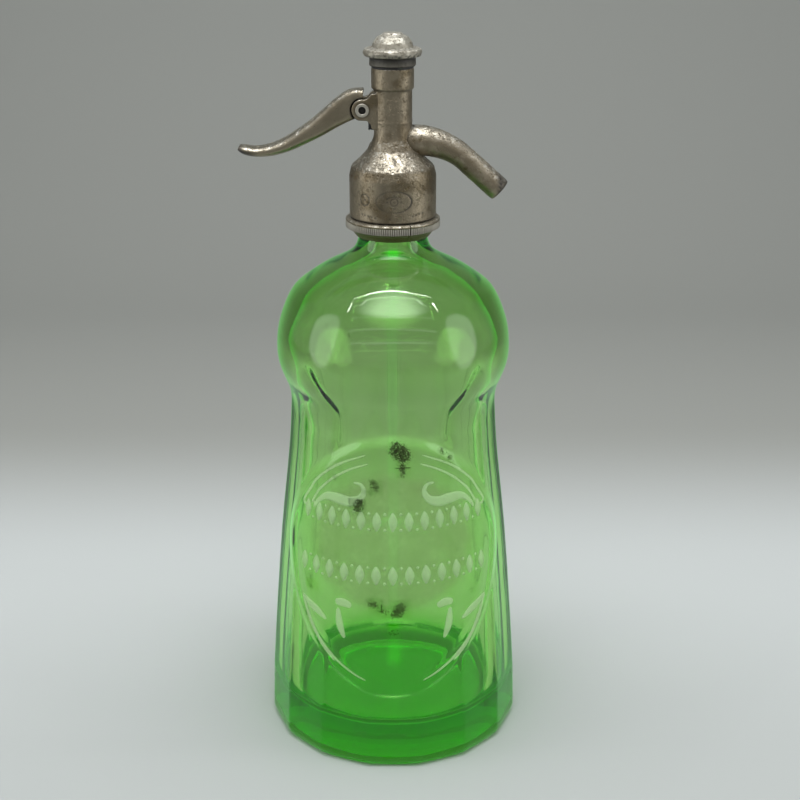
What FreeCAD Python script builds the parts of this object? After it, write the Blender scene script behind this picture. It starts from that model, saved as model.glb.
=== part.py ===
import FreeCAD, Part
import math
import os
import re
import Sketcher

from FreeCAD import Placement, Rotation, Vector

# Soda siphon. Millimetres, +Z up, the bottle stands on Z = 0 round the Z axis.
# The front is -Y, the spout points along +X and the lever along -X.

doc = FreeCAD.newDocument("SodaSiphon")
sheet = doc.addObject("Spreadsheet::Sheet", "Sizes")

sizes = {
    # glass body
    "facet_count": 16,
    "base_radius": 57.0,
    "foot_radius": 52.6,
    "heel_height": 5.0,
    "low_radius": 55.9,
    "low_level": 32.0,
    "mid_radius": 50.9,
    "mid_level": 94.0,
    "high_radius": 46.0,
    "high_level": 138.0,
    "waist_radius": 44.6,
    "waist_level": 160.0,
    "bulb_radius": 50.1,
    "bulb_level": 180.5,
    "upper_radius": 43.6,
    "upper_level": 202.5,
    "crown_radius": 29.2,
    "crown_level": 213.6,
    "throat_radius": 16.8,
    "throat_level": 221.0,
    "neck_radius": 14.4,
    "neck_level": 229.0,
    "glass_wall": 5.4,
    "glass_floor": 16.0,
    "punt_radius": 40.0,
    "punt_depth": 1.6,
    "mouth_radius": 8.6,
    "mouth_depth": 4.0,
    "neck_bore_radius": 6.2,
    "finish_radius": 12.8,
    "finish_bottom": 231.0,
    "lip_bottom": 241.2,
    "lip_top": 246.6,
    "lip_radius": 14.9,
    "medallion_level": 93.5,
    "medallion_width": 91.6,
    "medallion_height": 119.0,
    "medallion_rise": 0.9,
    # split collar
    "collar_cone_bottom": 227.2,
    "collar_cone_radius": 15.6,
    "rim_bottom": 230.2,
    "rim_top": 235.0,
    "rim_radius": 19.8,
    "sleeve_radius": 15.9,
    "collar_play": 0.3,
    "collar_parting": 0.3,
    "parting_azimuth": 22.0,
    # head casting
    "skirt_radius": 18.1,
    "skirt_wall": 1.9,
    "skirt_top": 255.0,
    "skirt_chamfer": 0.5,
    "shoulder_radius": 12.9,
    "shoulder_level": 260.6,
    "shoulder_ease": 0.95,
    "shoulder_swell": 2.2,
    "shoulder_reach": 1.1,
    "shoulder_lift": 0.3,
    "shoulder_hollow": 2.6,
    "shoulder_dip": 4.0,
    "column_flare": 0.35,
    "flare_height": 1.6,
    "column_radius": 8.0,
    "column_foot": 271.0,
    "crown_sleeve_radius": 8.75,
    "crown_sleeve_bottom": 287.8,
    "crown_sleeve_top": 296.3,
    "skirt_ceiling": 249.4,
    "gasket_thickness": 2.4,
    "nut_bore_radius": 6.6,
    "seat_bottom": 256.0,
    "seat_bore_radius": 5.7,
    "seat_top": 260.0,
    "valve_bore_radius": 4.7,
    "web_bottom": 270.3,
    "web_top": 271.8,
    "rod_radius": 1.7,
    "rod_play": 0.12,
    "gland_radius": 5.2,
    "packing_height": 2.0,
    "follower_height": 1.4,
    "seat_fit": 0.05,
    # pivot
    "pivot_reach": 12.4,
    "pivot_level": 279.7,
    "ear_radius": 4.3,
    "ears_width": 11.0,
    "ear_gap": 5.0,
    "ear_web_top": 286.0,
    "ear_web_bottom": 272.0,
    "slot_bottom": 276.0,
    "slot_top": 285.4,
    "pin_radius": 2.1,
    "pin_bore_radius": 1.45,
    "pin_flange_radius": 2.75,
    "pin_flange_height": 0.6,
    "pin_fit": 0.04,
    # lever
    "tongue_width": 4.4,
    "tongue_nose_radius": 1.7,
    "tongue_overreach": 1.0,
    "lever_width": 10.6,
    "lever_tip_reach": 64.5,
    "lever_tip_level": 264.4,
    "lever_crest_reach": 16.2,
    "lever_crest_level": 287.4,
    "lever_play": 0.45,
    "lever_back": 1.4,
    "lever_low_level": 274.9,
    # spout
    "spout_radius": 5.1,
    "spout_root_radius": 6.5,
    "spout_bore_radius": 3.3,
    "spout_level": 266.7,
    "spout_root": 6.3,
    "spout_spigot": 7.2,
    "spout_lead": 3.2,
    "spout_bend_radius": 31.0,
    "spout_drop": 42.0,
    "spout_straight": 19.2,
    # screw cap
    "washer_height": 0.6,
    "cap_ring_radius": 9.6,
    "cap_ring_height": 3.7,
    "brim_radius": 12.1,
    "brim_height": 3.6,
    "dome_radius": 7.3,
    "dome_height": 5.8,
    "button_radius": 3.6,
    "spigot_radius": 6.6,
    "spigot_bore_radius": 5.0,
    "spigot_length": 7.6,
    # plunger and valve
    "yoke_radius": 4.7,
    "yoke_bottom": 275.5,
    "yoke_top": 283.9,
    "window_width": 4.9,
    "window_play": 0.35,
    "window_drop": 1.3,
    "rod_top": 297.0,
    "stem_radius": 1.1,
    "flange_radius": 3.5,
    "flange_thickness": 1.3,
    "rubber_radius": 3.8,
    "rubber_thickness": 2.2,
    "rubber_lift": 0.15,
    "valve_nut_radius": 1.9,
    "valve_nut_height": 1.8,
    "seat_hole_radius": 2.9,
    "spring_washer_height": 0.9,
    "spring_wire": 0.9,
    "spring_radius": 3.7,
    "spring_turns": 6,
    # dip tube
    "tube_radius": 3.6,
    "tube_bore_radius": 2.2,
    "tube_foot": 20.5,
    "tube_seal_height": 2.6,
    "tube_nut_flange_radius": 7.6,
    "tube_nut_flange_height": 4.0,
    # weather strip under the lever slot
    "strip_width": 4.4,
    "strip_thickness": 1.9,
    "strip_height": 4.2,
    "strip_top": 275.6,
}

for number, (alias, value) in enumerate(sizes.items(), start=1):
    sheet.set("A%d" % number, alias.replace("_", " "))
    sheet.set("B%d" % number, str(value))
    sheet.setAlias("B%d" % number, alias)
doc.recompute()


def bound(text):
    """The expression with every size name looked up in the sheet."""
    return re.sub(r"\b([a-z]+(?:_[a-z]+)*)\b(?!\()", r"Sizes.\1", text)


def reading(text):
    """The number that an expression on the sheet's sizes gives now."""
    result = sheet.evalExpression(bound(text))
    return float(getattr(result, "Value", result))


def originPlane(body, role):
    for feature in body.Origin.OriginFeatures:
        if feature.Role == role:
            return feature
    raise RuntimeError("no origin plane " + role)


def newBody(label):
    body = doc.addObject("PartDesign::Body", label + "_body")
    body.Label = label
    return body


def newSketch(body, name, plane, offset=None):
    sketch = body.newObject("Sketcher::SketchObject", body.Label + "_" + name)
    sketch.AttachmentSupport = [(originPlane(body, plane), "")]
    sketch.MapMode = "FlatFace"
    if offset:
        sketch.setExpression("AttachmentOffset.Base.z", bound(offset))
    return sketch


def turnsLeft(first, middle, last):
    return (middle - first).cross(last - middle).z > 0


def leftHandArc(first, middle, last):
    """The arc through three points, always counter-clockwise as sketches store it."""
    circle = Part.Arc(first, middle, last).toShape().Curve
    centre = circle.Center
    ends = (first, last) if turnsLeft(first, middle, last) else (last, first)
    angles = [math.atan2(end.y - centre.y, end.x - centre.x) for end in ends]
    if angles[1] < angles[0]:
        angles[1] += 2 * math.pi
    whole = Part.Circle(centre, Vector(0, 0, 1), circle.Radius)
    return Part.ArcOfCircle(whole, angles[0], angles[1])


def drawOutline(sketch, corners):
    """A closed outline through corners, each an (across, up) pair of expressions.

    A corner with four expressions starts an arc, and the last two place its middle.
    """
    points = [Vector(reading(corner[0]), reading(corner[1]), 0) for corner in corners]
    count = len(points)
    starts = []
    middles = []
    for index, corner in enumerate(corners):
        first = points[index]
        last = points[(index + 1) % count]
        if len(corner) == 2:
            sketch.addGeometry(Part.LineSegment(first, last), False)
            starts.append(1)
            continue
        middle = Vector(reading(corner[2]), reading(corner[3]), 0)
        sketch.addGeometry(leftHandArc(first, middle, last), False)
        starts.append(1 if turnsLeft(first, middle, last) else 2)
        middles.append((index, middle, corner[2], corner[3]))
    for index in range(count):
        after = (index + 1) % count
        sketch.addConstraint(Sketcher.Constraint(
            "Coincident", index, 3 - starts[index], after, starts[after]))
    for index, corner in enumerate(corners):
        pinCoordinate(sketch, "DistanceX", index, starts[index], points[index].x, corner[0])
        pinCoordinate(sketch, "DistanceY", index, starts[index], points[index].y, corner[1])
    for index, middle, across, up in middles:
        mark = sketch.addGeometry(Part.Point(middle), True)
        sketch.addConstraint(Sketcher.Constraint("PointOnObject", mark, 1, index))
        pinCoordinate(sketch, "DistanceX", mark, 1, middle.x, across)
        pinCoordinate(sketch, "DistanceY", mark, 1, middle.y, up)


def pinCoordinate(sketch, kind, index, position, value, text):
    if abs(value) < 1e-9 and text == "0":
        axis = -2 if kind == "DistanceX" else -1
        sketch.addConstraint(Sketcher.Constraint("PointOnObject", index, position, axis))
        return
    number = sketch.addConstraint(Sketcher.Constraint(kind, -1, 1, index, position, value))
    sketch.setExpression("Constraints[%d]" % number, bound(text))


def drawCircle(sketch, across, up, radius):
    centre = Vector(reading(across), reading(up), 0)
    number = sketch.addGeometry(Part.Circle(centre, Vector(0, 0, 1), reading(radius)), False)
    size = sketch.addConstraint(Sketcher.Constraint("Radius", number, reading(radius)))
    sketch.setExpression("Constraints[%d]" % size, bound(radius))
    for kind, value, text in (("DistanceX", centre.x, across), ("DistanceY", centre.y, up)):
        if text == "0":
            axis = -2 if kind == "DistanceX" else -1
            sketch.addConstraint(Sketcher.Constraint("PointOnObject", number, 3, axis))
        else:
            place = sketch.addConstraint(Sketcher.Constraint(kind, -1, 1, number, 3, value))
            sketch.setExpression("Constraints[%d]" % place, bound(text))


def revolve(body, name, corners, kind="PartDesign::Revolution", angle="360"):
    """A revolved or grooved outline on the body's XZ plane, round its Z axis."""
    sketch = newSketch(body, name + "_outline", "XZ_Plane")
    drawOutline(sketch, corners)
    feature = body.newObject(kind, body.Label + "_" + name)
    feature.Profile = sketch
    feature.ReferenceAxis = (sketch, ["V_Axis"])
    feature.setExpression("Angle", bound(angle) if angle != "360" else angle)
    doc.recompute()
    return feature


def turned(label, corners):
    body = newBody(label)
    revolve(body, "turning", corners)
    return body


def padAcross(body, name, draw, width):
    """A pad of a side outline, half to each side of the XZ plane."""
    sketch = newSketch(body, name + "_outline", "XZ_Plane")
    draw(sketch)
    pad = body.newObject("PartDesign::Pad", body.Label + "_" + name)
    pad.Profile = sketch
    pad.SideType = "Symmetric"
    pad.setExpression("Length", bound(width))
    doc.recompute()
    return pad


def pocketAcross(body, name, draw, width):
    """A cut through a side outline, half to each side of the XZ plane."""
    before = body.Shape.Volume
    sketch = newSketch(body, name + "_outline", "XZ_Plane")
    draw(sketch)
    pocket = body.newObject("PartDesign::Pocket", body.Label + "_" + name)
    pocket.Profile = sketch
    pocket.SideType = "Symmetric"
    pocket.setExpression("Length", bound(width))
    doc.recompute()
    if body.Shape.Volume > before - 0.01:
        raise RuntimeError("the pocket cuts nothing: " + pocket.Name)
    return pocket


def drillAlongX(body, name, level, radius, start, end):
    """A round hole along X between two stations, at a height on the XZ plane."""
    before = body.Shape.Volume
    sketch = newSketch(body, name + "_circle", "YZ_Plane", start)
    drawCircle(sketch, "0", level, radius)
    pocket = body.newObject("PartDesign::Pocket", body.Label + "_" + name)
    pocket.Profile = sketch
    pocket.Reversed = True
    pocket.setExpression("Length", bound("%s - (%s)" % (end, start)))
    doc.recompute()
    if body.Shape.Volume > before - 0.01:
        raise RuntimeError("the hole cuts nothing: " + pocket.Name)
    return pocket


def solidFeature(label, shape):
    feature = doc.addObject("Part::Feature", label + "_shape")
    feature.Label = label
    feature.Shape = shape
    return feature


# Values that several pieces share
gasketTop = "skirt_ceiling"
skirtBore = "skirt_radius - skirt_wall"
packingTop = "web_top + packing_height"
followerTop = "web_top + packing_height + follower_height"
rodHole = "rod_radius + rod_play"
capSeat = "crown_sleeve_top + washer_height"
brimBottom = "crown_sleeve_top + washer_height + cap_ring_height"
brimTop = brimBottom + " + brim_height"
domeTop = brimTop + " + dome_height"
springRoof = brimBottom + " + 1.2"
shoulderLine = [
    ("skirt_radius", "skirt_top - shoulder_swell"),
    ("skirt_radius - shoulder_ease", "skirt_top + shoulder_swell"),
    ("shoulder_radius + shoulder_reach", "shoulder_level + shoulder_lift"),
    ("shoulder_radius - shoulder_hollow", "shoulder_level + shoulder_dip"),
    ("column_radius + column_flare", "column_foot - flare_height"),
    ("column_radius", "column_foot"),
]
rubberBottom = "seat_top + rubber_lift"
rubberTop = rubberBottom + " + rubber_thickness"
flangeTop = rubberTop + " + flange_thickness"


def arcThrough(first, middle, last):
    return Part.Arc(first, middle, last).toShape()


def smoothEdge(points):
    curve = Part.BSplineCurve()
    curve.interpolate(points)
    return curve.toShape()


def spun(points):
    """A closed revolved solid from edges or points in the XZ half plane."""
    wire = Part.Wire(points)
    return Part.Face(wire).revolve(Vector(0, 0, 0), Vector(0, 0, 1), 360)


def bodySections(inset, levels):
    """Sixteen-sided sections of the flared lower body at the named levels."""
    wires = []
    count = int(reading("facet_count"))
    for radiusName, level in levels:
        radius = reading(radiusName) - inset
        corners = []
        for index in range(count):
            angle = 2 * math.pi * (index + 0.5) / count
            corners.append(Vector(radius * math.sin(angle), -radius * math.cos(angle), level))
        wires.append(Part.makePolygon(corners + corners[:1]))
    return wires


def bulbEdges(inset):
    """The outer line of bulb, shoulder and neck, drawn in by the wall for the cavity."""
    throat = reading("throat_radius") - inset
    neck = reading("neck_radius") - inset
    if inset > 0:
        # the glass thickens towards the narrow bore of the neck
        neck = reading("neck_bore_radius")
        throat = neck + 0.75 * (reading("throat_radius") - reading("neck_radius"))
    points = [
        Vector(reading("waist_radius") - inset, 0, reading("waist_level")),
        Vector(reading("bulb_radius") - inset, 0, reading("bulb_level")),
        Vector(reading("upper_radius") - inset, 0, reading("upper_level") - 0.5 * inset),
        Vector(reading("crown_radius") - inset, 0, reading("crown_level") - 0.9 * inset),
        Vector(throat, 0, reading("throat_level") - 0.6 * inset),
        Vector(neck, 0, reading("neck_level")),
    ]
    curve = Part.BSplineCurve()
    tangents = [Vector(0.55, 0, 1), Vector(0, 0, 1), Vector(-0.9, 0, 1), Vector(-1.75, 0, 1),
                Vector(-0.45, 0, 1), Vector(0, 0, 1)]
    curve.interpolate(Points=points, Tangents=[t.normalize() for t in tangents],
                      TangentFlags=[True] * len(points))
    return curve.toShape(), points


def glassBottle():
    line, points = bulbEdges(0.0)
    waist = reading("waist_level")
    neck = points[-1]
    finish = reading("finish_radius")
    lip = reading("lip_radius")
    lipTop = reading("lip_top")
    lipBottom = reading("lip_bottom")
    edgeRound = 1.2
    outline = [
        Vector(finish, 0, reading("finish_bottom")),
        Vector(finish, 0, lipBottom),
        Vector(lip - edgeRound, 0, lipBottom),
        Vector(lip, 0, lipBottom + edgeRound),
        Vector(lip, 0, lipTop - edgeRound),
        Vector(lip - edgeRound, 0, lipTop),
        Vector(0, 0, lipTop),
        Vector(0, 0, waist - 6),
        Vector(points[0].x - 3.3, 0, waist - 6),
    ]
    corners = [neck] + outline + [points[0]]
    edges = [line]
    for first, second in zip(corners, corners[1:]):
        edges.append(Part.LineSegment(first, second).toShape())
    upper = spun(edges)

    levels = [("base_radius", 0.0), ("base_radius", reading("heel_height")),
              ("low_radius", reading("low_level")), ("mid_radius", reading("mid_level")),
              ("high_radius", reading("high_level")), ("waist_radius", waist)]
    lower = Part.makeLoft(bodySections(0.0, levels[1:]), True, False)
    foot = Part.makeLoft(bodySections(0.0, levels[:2]), True, True)
    glass = upper.fuse(lower).fuse(foot)

    # a raised round panel wrapped round the front
    rise = reading("medallion_rise")
    half = 0.5 * reading("medallion_height")
    centre = reading("medallion_level")
    panelLow = centre - half - 3
    panelHigh = centre + half + 3
    panelPoints = []
    for name, level in [("low_radius", "low_level"), ("mid_radius", "mid_level"),
                        ("high_radius", "high_level")]:
        panelPoints.append(Vector(reading(name) + rise, 0, reading(level)))
    growth = (panelPoints[1].x - panelPoints[0].x) / (panelPoints[1].z - panelPoints[0].z)
    first = Vector(panelPoints[0].x + growth * (panelLow - panelPoints[0].z), 0, panelLow)
    growth = (reading("waist_radius") - reading("high_radius")) / (waist - reading("high_level"))
    last = Vector(panelPoints[2].x + growth * (panelHigh - panelPoints[2].z), 0, panelHigh)
    panelLine = smoothEdge([first] + panelPoints + [last])
    inner = 0.6 * reading("waist_radius")
    panelEdges = [panelLine]
    ring = [last, Vector(inner, 0, last.z), Vector(inner, 0, first.z), first]
    for one, two in zip(ring, ring[1:]):
        panelEdges.append(Part.LineSegment(one, two).toShape())
    panel = spun(panelEdges)
    oval = Part.Ellipse(Vector(0, 0, 0), half, 0.5 * reading("medallion_width")).toShape()
    cutter = Part.Face(Part.Wire([oval])).extrude(Vector(0, 0, 1.4 * reading("base_radius")))
    turn = Placement(Vector(0, 0, centre), Rotation(Vector(0, 0, 1), Vector(0, -1, 0)))
    cutter.Placement = turn
    box = cutter.BoundBox
    if box.ZLength < box.XLength:
        spin = Rotation(Vector(0, 0, 1), 90)
        cutter.Placement = Placement(Vector(0, 0, centre), turn.Rotation.multiply(spin))
    glass = glass.fuse(panel.common(cutter))

    # the rounded heel
    base = reading("base_radius")
    footRadius = reading("foot_radius")
    heel = reading("heel_height")
    middle = Vector(footRadius + 0.72 * (base + 0.2 - footRadius), 0, 0.26 * heel)
    out = base + 12
    heelEdges = [arcThrough(Vector(footRadius, 0, 0), middle, Vector(base + 0.2, 0, heel + 1.5))]
    ring = [Vector(base + 0.2, 0, heel + 1.5), Vector(out, 0, heel + 1.5), Vector(out, 0, -1),
            Vector(footRadius, 0, -1), Vector(footRadius, 0, 0)]
    for one, two in zip(ring, ring[1:]):
        heelEdges.append(Part.LineSegment(one, two).toShape())
    glass = glass.cut(spun(heelEdges))

    # the shallow punt under the base
    punt = Part.makeCone(reading("punt_radius"), 0.8 * reading("punt_radius"),
                         reading("punt_depth"), Vector(0, 0, 0))
    glass = glass.cut(punt)
    return glass.cut(glassCavity()).removeSplitter()


def glassCavity():
    wall = reading("glass_wall")
    line, points = bulbEdges(wall)
    mouth = reading("mouth_radius")
    floor = reading("glass_floor")
    flat = math.cos(math.pi / reading("facet_count"))
    lowCorner = 9.0
    footIn = flat * reading("low_radius") - wall
    sides = [
        Vector(points[0].x, 0, points[0].z),
        Vector(flat * reading("high_radius") - wall, 0, reading("high_level")),
        Vector(flat * reading("mid_radius") - wall, 0, reading("mid_level")),
        Vector(footIn, 0, floor + lowCorner),
    ]
    corner = arcThrough(sides[3], Vector(footIn - 0.29 * lowCorner, 0, floor + 0.29 * lowCorner),
                        Vector(footIn - lowCorner, 0, floor))
    top = reading("lip_top") + 2
    mouthFoot = reading("lip_top") - reading("mouth_depth")
    neckBore = reading("neck_bore_radius")
    edges = [line, smoothEdge(sides), corner]
    ring = [Vector(footIn - lowCorner, 0, floor), Vector(0, 0, floor), Vector(0, 0, top),
            Vector(mouth, 0, top), Vector(mouth, 0, mouthFoot),
            Vector(neckBore, 0, mouthFoot - 1.5 * (mouth - neckBore)), points[-1]]
    for one, two in zip(ring, ring[1:]):
        edges.append(Part.LineSegment(one, two).toShape())
    return spun(edges)


bottle = solidFeature("glass_bottle", glassBottle())


def collarHalf(label, start):
    """Half of the split threaded collar that grips the glass under its lip."""
    body = newBody(label)
    inner = "finish_radius + collar_play"
    throat = "neck_radius + collar_play"
    top = "lip_bottom - collar_play"
    # the outline runs from the throat round the rim to the sleeve
    revolve(body, "turning", [
        (throat, "collar_cone_bottom"),
        ("collar_cone_radius", "collar_cone_bottom"),
        ("rim_radius - 1.3", "rim_bottom", "rim_radius - 0.38", "rim_bottom + 0.38"),
        ("rim_radius", "rim_bottom + 1.3"),
        ("rim_radius", "rim_top - 1.2", "rim_radius - 0.35", "rim_top - 0.35"),
        ("rim_radius - 1.2", "rim_top"),
        ("sleeve_radius", "rim_top"),
        ("sleeve_radius", top),
        (inner, top),
        (inner, "finish_bottom + collar_play"),
        (throat, "neck_level + collar_play"),
    ], angle="180 - collar_parting / rim_radius * 57.3")
    body.Placement = Placement(Vector(0, 0, 0), Rotation(Vector(0, 0, 1), start))
    return body


partingTurn = reading("parting_azimuth") - 90
halfGap = 0.5 * math.degrees(reading("collar_parting") / reading("rim_radius"))
rightHalf = collarHalf("collar_half_right", partingTurn + halfGap)
leftHalf = collarHalf("collar_half_left", partingTurn + 180 + halfGap)

gasket = turned("lip_gasket", [
    ("mouth_radius + 0.6", "lip_top"),
    ("lip_radius - 0.6", "lip_top"),
    ("lip_radius - 0.6", gasketTop),
    ("mouth_radius + 0.6", gasketTop),
])

# head casting with its bores
head = newBody("head_body")
revolve(head, "casting", [
    (skirtBore, "rim_top + 0.3"),
    ("skirt_radius - skirt_chamfer", "rim_top + 0.3"),
    ("skirt_radius", "rim_top + 0.3 + skirt_chamfer"),
    shoulderLine[0] + shoulderLine[1],
    shoulderLine[2] + shoulderLine[3],
    shoulderLine[4],
    shoulderLine[5],
    ("column_radius", "crown_sleeve_bottom"),
    ("crown_sleeve_radius", "crown_sleeve_bottom + 0.5"),
    ("crown_sleeve_radius", "crown_sleeve_top"),
    ("spigot_radius + seat_fit", "crown_sleeve_top"),
    ("spigot_radius + seat_fit", "crown_sleeve_top - spigot_length - 0.5"),
    ("gland_radius", "crown_sleeve_top - spigot_length - 0.5"),
    ("gland_radius", "web_top"),
    (rodHole, "web_top"),
    (rodHole, "web_bottom"),
    ("valve_bore_radius", "web_bottom"),
    ("valve_bore_radius", "seat_top"),
    ("seat_bore_radius", "seat_top"),
    ("seat_bore_radius", "seat_bottom"),
    ("nut_bore_radius", "seat_bottom"),
    ("nut_bore_radius", "skirt_ceiling"),
    (skirtBore, "skirt_ceiling"),
])


def drawEar(sketch):
    """The ear's side outline: a boss on the pivot, webbed to the column."""
    boss = "-pivot_reach"
    inside = "-column_radius + 1.6"
    drawOutline(sketch, [
        (inside, "ear_web_bottom"),
        ("-column_radius - 0.4", "ear_web_bottom + 0.4"),
        (boss + " + 0.42 * ear_radius", "pivot_level - 0.9075 * ear_radius",
         boss + " - ear_radius", "pivot_level"),
        (boss + " + 0.42 * ear_radius", "pivot_level + 0.9075 * ear_radius"),
        ("-column_radius - 0.2", "ear_web_top - 0.4"),
        (inside, "ear_web_top"),
    ])


def drawEarGap(sketch):
    drawOutline(sketch, [
        ("-pivot_reach - 2 * ear_radius", "ear_web_bottom - 6"),
        ("-column_radius + 0.45", "ear_web_bottom - 6"),
        ("-column_radius + 0.45", "ear_web_top + 1"),
        ("-pivot_reach - 2 * ear_radius", "ear_web_top + 1"),
    ])


def drawSlot(sketch):
    drawOutline(sketch, [
        ("-column_radius - 1", "slot_bottom"),
        ("-0.5 * gland_radius", "slot_bottom"),
        ("-0.5 * gland_radius", "slot_top"),
        ("-column_radius - 1", "slot_top"),
    ])


padAcross(head, "ears", drawEar, "ears_width")
pocketAcross(head, "chamber_side", drawSlot, "ear_gap")
pocketAcross(head, "ear_gap", drawEarGap, "ear_gap")
pocketAcross(head, "pin_hole",
             lambda sketch: drawCircle(sketch, "-pivot_reach", "pivot_level",
                                       "pin_radius + pin_fit"), "2 * ears_width")
drillAlongX(head, "spout_socket", "spout_level", "spout_radius + seat_fit",
            "spout_root", "1.2 * skirt_radius")
drillAlongX(head, "spout_port", "spout_level", "spout_bore_radius",
            "0.5 * valve_bore_radius", "spout_root + seat_fit")


def ringOn(centre, fall, radius):
    """A circle square to a path that falls by an angle below +X."""
    ring = Part.Circle(Vector(0, 0, 0), Vector(0, 0, 1), radius).toShape()
    ring.Placement = Placement(centre, Rotation(Vector(0, 1, 0), 90 + fall))
    return Part.Wire([ring])


def headEnvelope(gap):
    """The outside of shoulder and column, a small gap larger, that the spout saddles on."""
    rise = []
    for across, up in shoulderLine[1:] + [("column_radius", "crown_sleeve_bottom")]:
        rise.append(Vector(reading(across) + gap, 0, reading(up)))
    edges = [Part.LineSegment(rise[0], rise[1]).toShape(), arcThrough(*rise[1:4]),
             Part.LineSegment(rise[3], rise[4]).toShape(),
             Part.LineSegment(rise[4], rise[5]).toShape()]
    ring = [rise[5], Vector(0, 0, rise[5].z), Vector(0, 0, rise[0].z), rise[0]]
    for one, two in zip(ring, ring[1:]):
        edges.append(Part.LineSegment(one, two).toShape())
    return spun(edges)


def spoutShape():
    """A round tube, thick at its root, with one bend and a straight outlet."""
    lead = reading("spout_lead")
    bend = reading("spout_bend_radius")
    dropAngle = reading("spout_drop")
    drop = math.radians(dropAngle)
    outer = reading("spout_radius")
    root = reading("spout_root_radius")
    bore = reading("spout_bore_radius")
    straight = reading("spout_straight")
    start = Vector(reading("spout_root"), 0, reading("spout_level"))
    knee = start + Vector(lead, 0, 0)
    centre = knee - Vector(0, 0, bend)

    def onBend(share):
        turn = drop * share
        return centre + Vector(bend * math.sin(turn), 0, bend * math.cos(turn))

    leave = onBend(1.0)
    along = Vector(math.cos(drop), 0, -math.sin(drop))
    outlet = leave + along * straight
    rings = [ringOn(start, 0, root), ringOn(knee, 0, root)]
    steps = 6
    for step in range(1, steps + 1):
        share = step / steps
        ease = share * share * (3 - 2 * share)
        rings.append(ringOn(onBend(share), dropAngle * share, root + ease * (outer - root)))
    body = Part.makeLoft(rings, True, False).cut(headEnvelope(reading("seat_fit")))
    spigot = Part.makeCylinder(outer, reading("spout_spigot"), start, Vector(1, 0, 0))
    end = Part.makeCylinder(outer, straight, leave, along)
    path = Part.Wire([Part.LineSegment(start, knee).toShape(),
                      arcThrough(knee, onBend(0.5), leave),
                      Part.LineSegment(leave, outlet).toShape()])
    hole = path.makePipeShell([ringOn(start, 0, bore)], True, False)
    print("spout outlet centre: %.2f %.2f" % (outlet.x, outlet.z))
    return body.fuse([spigot, end]).cut(hole).removeSplitter()


spout = solidFeature("spout", spoutShape())


def leverShape():
    """The S-shaped blade with a shoulder round the ears and a tongue to the plunger."""
    pivot = Vector(-reading("pivot_reach"), 0, reading("pivot_level"))
    tip = Vector(-reading("lever_tip_reach"), 0, reading("lever_tip_level"))
    crest = Vector(-reading("lever_crest_reach"), 0, reading("lever_crest_level"))
    reach = crest.x - tip.x
    fall = crest.z - tip.z

    def along(share, drop):
        return Vector(crest.x - share * reach, 0, crest.z - drop * fall)

    hook = Vector(crest.x + 4.4, 0, crest.z - 1.0)
    low = Vector(crest.x + reading("lever_back"), 0, reading("lever_low_level"))
    top = smoothEdge([hook, crest, along(0.085, 0.09), along(0.25, 0.405), along(0.36, 0.595),
                      along(0.48, 0.775), along(0.595, 0.905), along(0.72, 0.98),
                      along(0.88, 1.0), Vector(tip.x, 0, tip.z + 0.6)])
    bottom = smoothEdge([Vector(tip.x, 0, tip.z - 0.6), along(0.925, 1.15), along(0.81, 1.2),
                         along(0.675, 1.17), along(0.53, 1.045), along(0.4, 0.9),
                         along(0.265, 0.74), along(0.115, 0.595), low])
    endTip = Part.LineSegment(Vector(tip.x, 0, tip.z + 0.6),
                              Vector(tip.x, 0, tip.z - 0.6)).toShape()
    back = Part.LineSegment(low, hook).toShape()
    width = reading("lever_width")
    face = Part.Face(Part.Wire([top, endTip, bottom, back]))
    blade = face.extrude(Vector(0, width, 0))
    blade.translate(Vector(0, -0.5 * width, 0))
    play = reading("lever_play")
    earSpace = Part.makeCylinder(reading("ear_radius") + play, 2 * width,
                                 pivot + Vector(0, -width, 0), Vector(0, 1, 0))
    blade = blade.cut(earSpace)

    # the tongue runs between the ears, through the slot and into the plunger window
    tongueWidth = reading("tongue_width")
    nose = reading("tongue_nose_radius")
    hub = reading("ear_radius") - 0.5
    centreLine = reading("pivot_level")
    noseEnd = reading("tongue_overreach")
    outline = [
        Vector(pivot.x - hub - 3.0, 0, centreLine + 1.2 * nose),
        Vector(pivot.x - 0.5 * hub, 0, centreLine + hub),
        Vector(pivot.x + 0.5 * hub, 0, centreLine + 0.8 * hub),
        Vector(pivot.x + 1.2 * hub, 0, centreLine + nose),
        Vector(noseEnd, 0, centreLine + nose),
        Vector(noseEnd + 0.6, 0, centreLine),
        Vector(noseEnd, 0, centreLine - nose),
        Vector(pivot.x + 1.2 * hub, 0, centreLine - nose),
        Vector(pivot.x + 0.5 * hub, 0, centreLine - 0.7 * hub),
        Vector(pivot.x - 0.5 * hub, 0, centreLine - hub),
        Vector(pivot.x - hub - 3.0, 0, centreLine - 1.2 * nose),
    ]
    tongue = Part.Face(Part.makePolygon(outline + outline[:1])).extrude(Vector(0, tongueWidth, 0))
    tongue.translate(Vector(0, -0.5 * tongueWidth, 0))
    hole = Part.makeCylinder(reading("pin_radius") + reading("pin_fit"), 2 * width,
                             pivot + Vector(0, -width, 0), Vector(0, 1, 0))
    return blade.fuse(tongue).cut(hole).removeSplitter()


lever = solidFeature("lever", leverShape())

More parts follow.
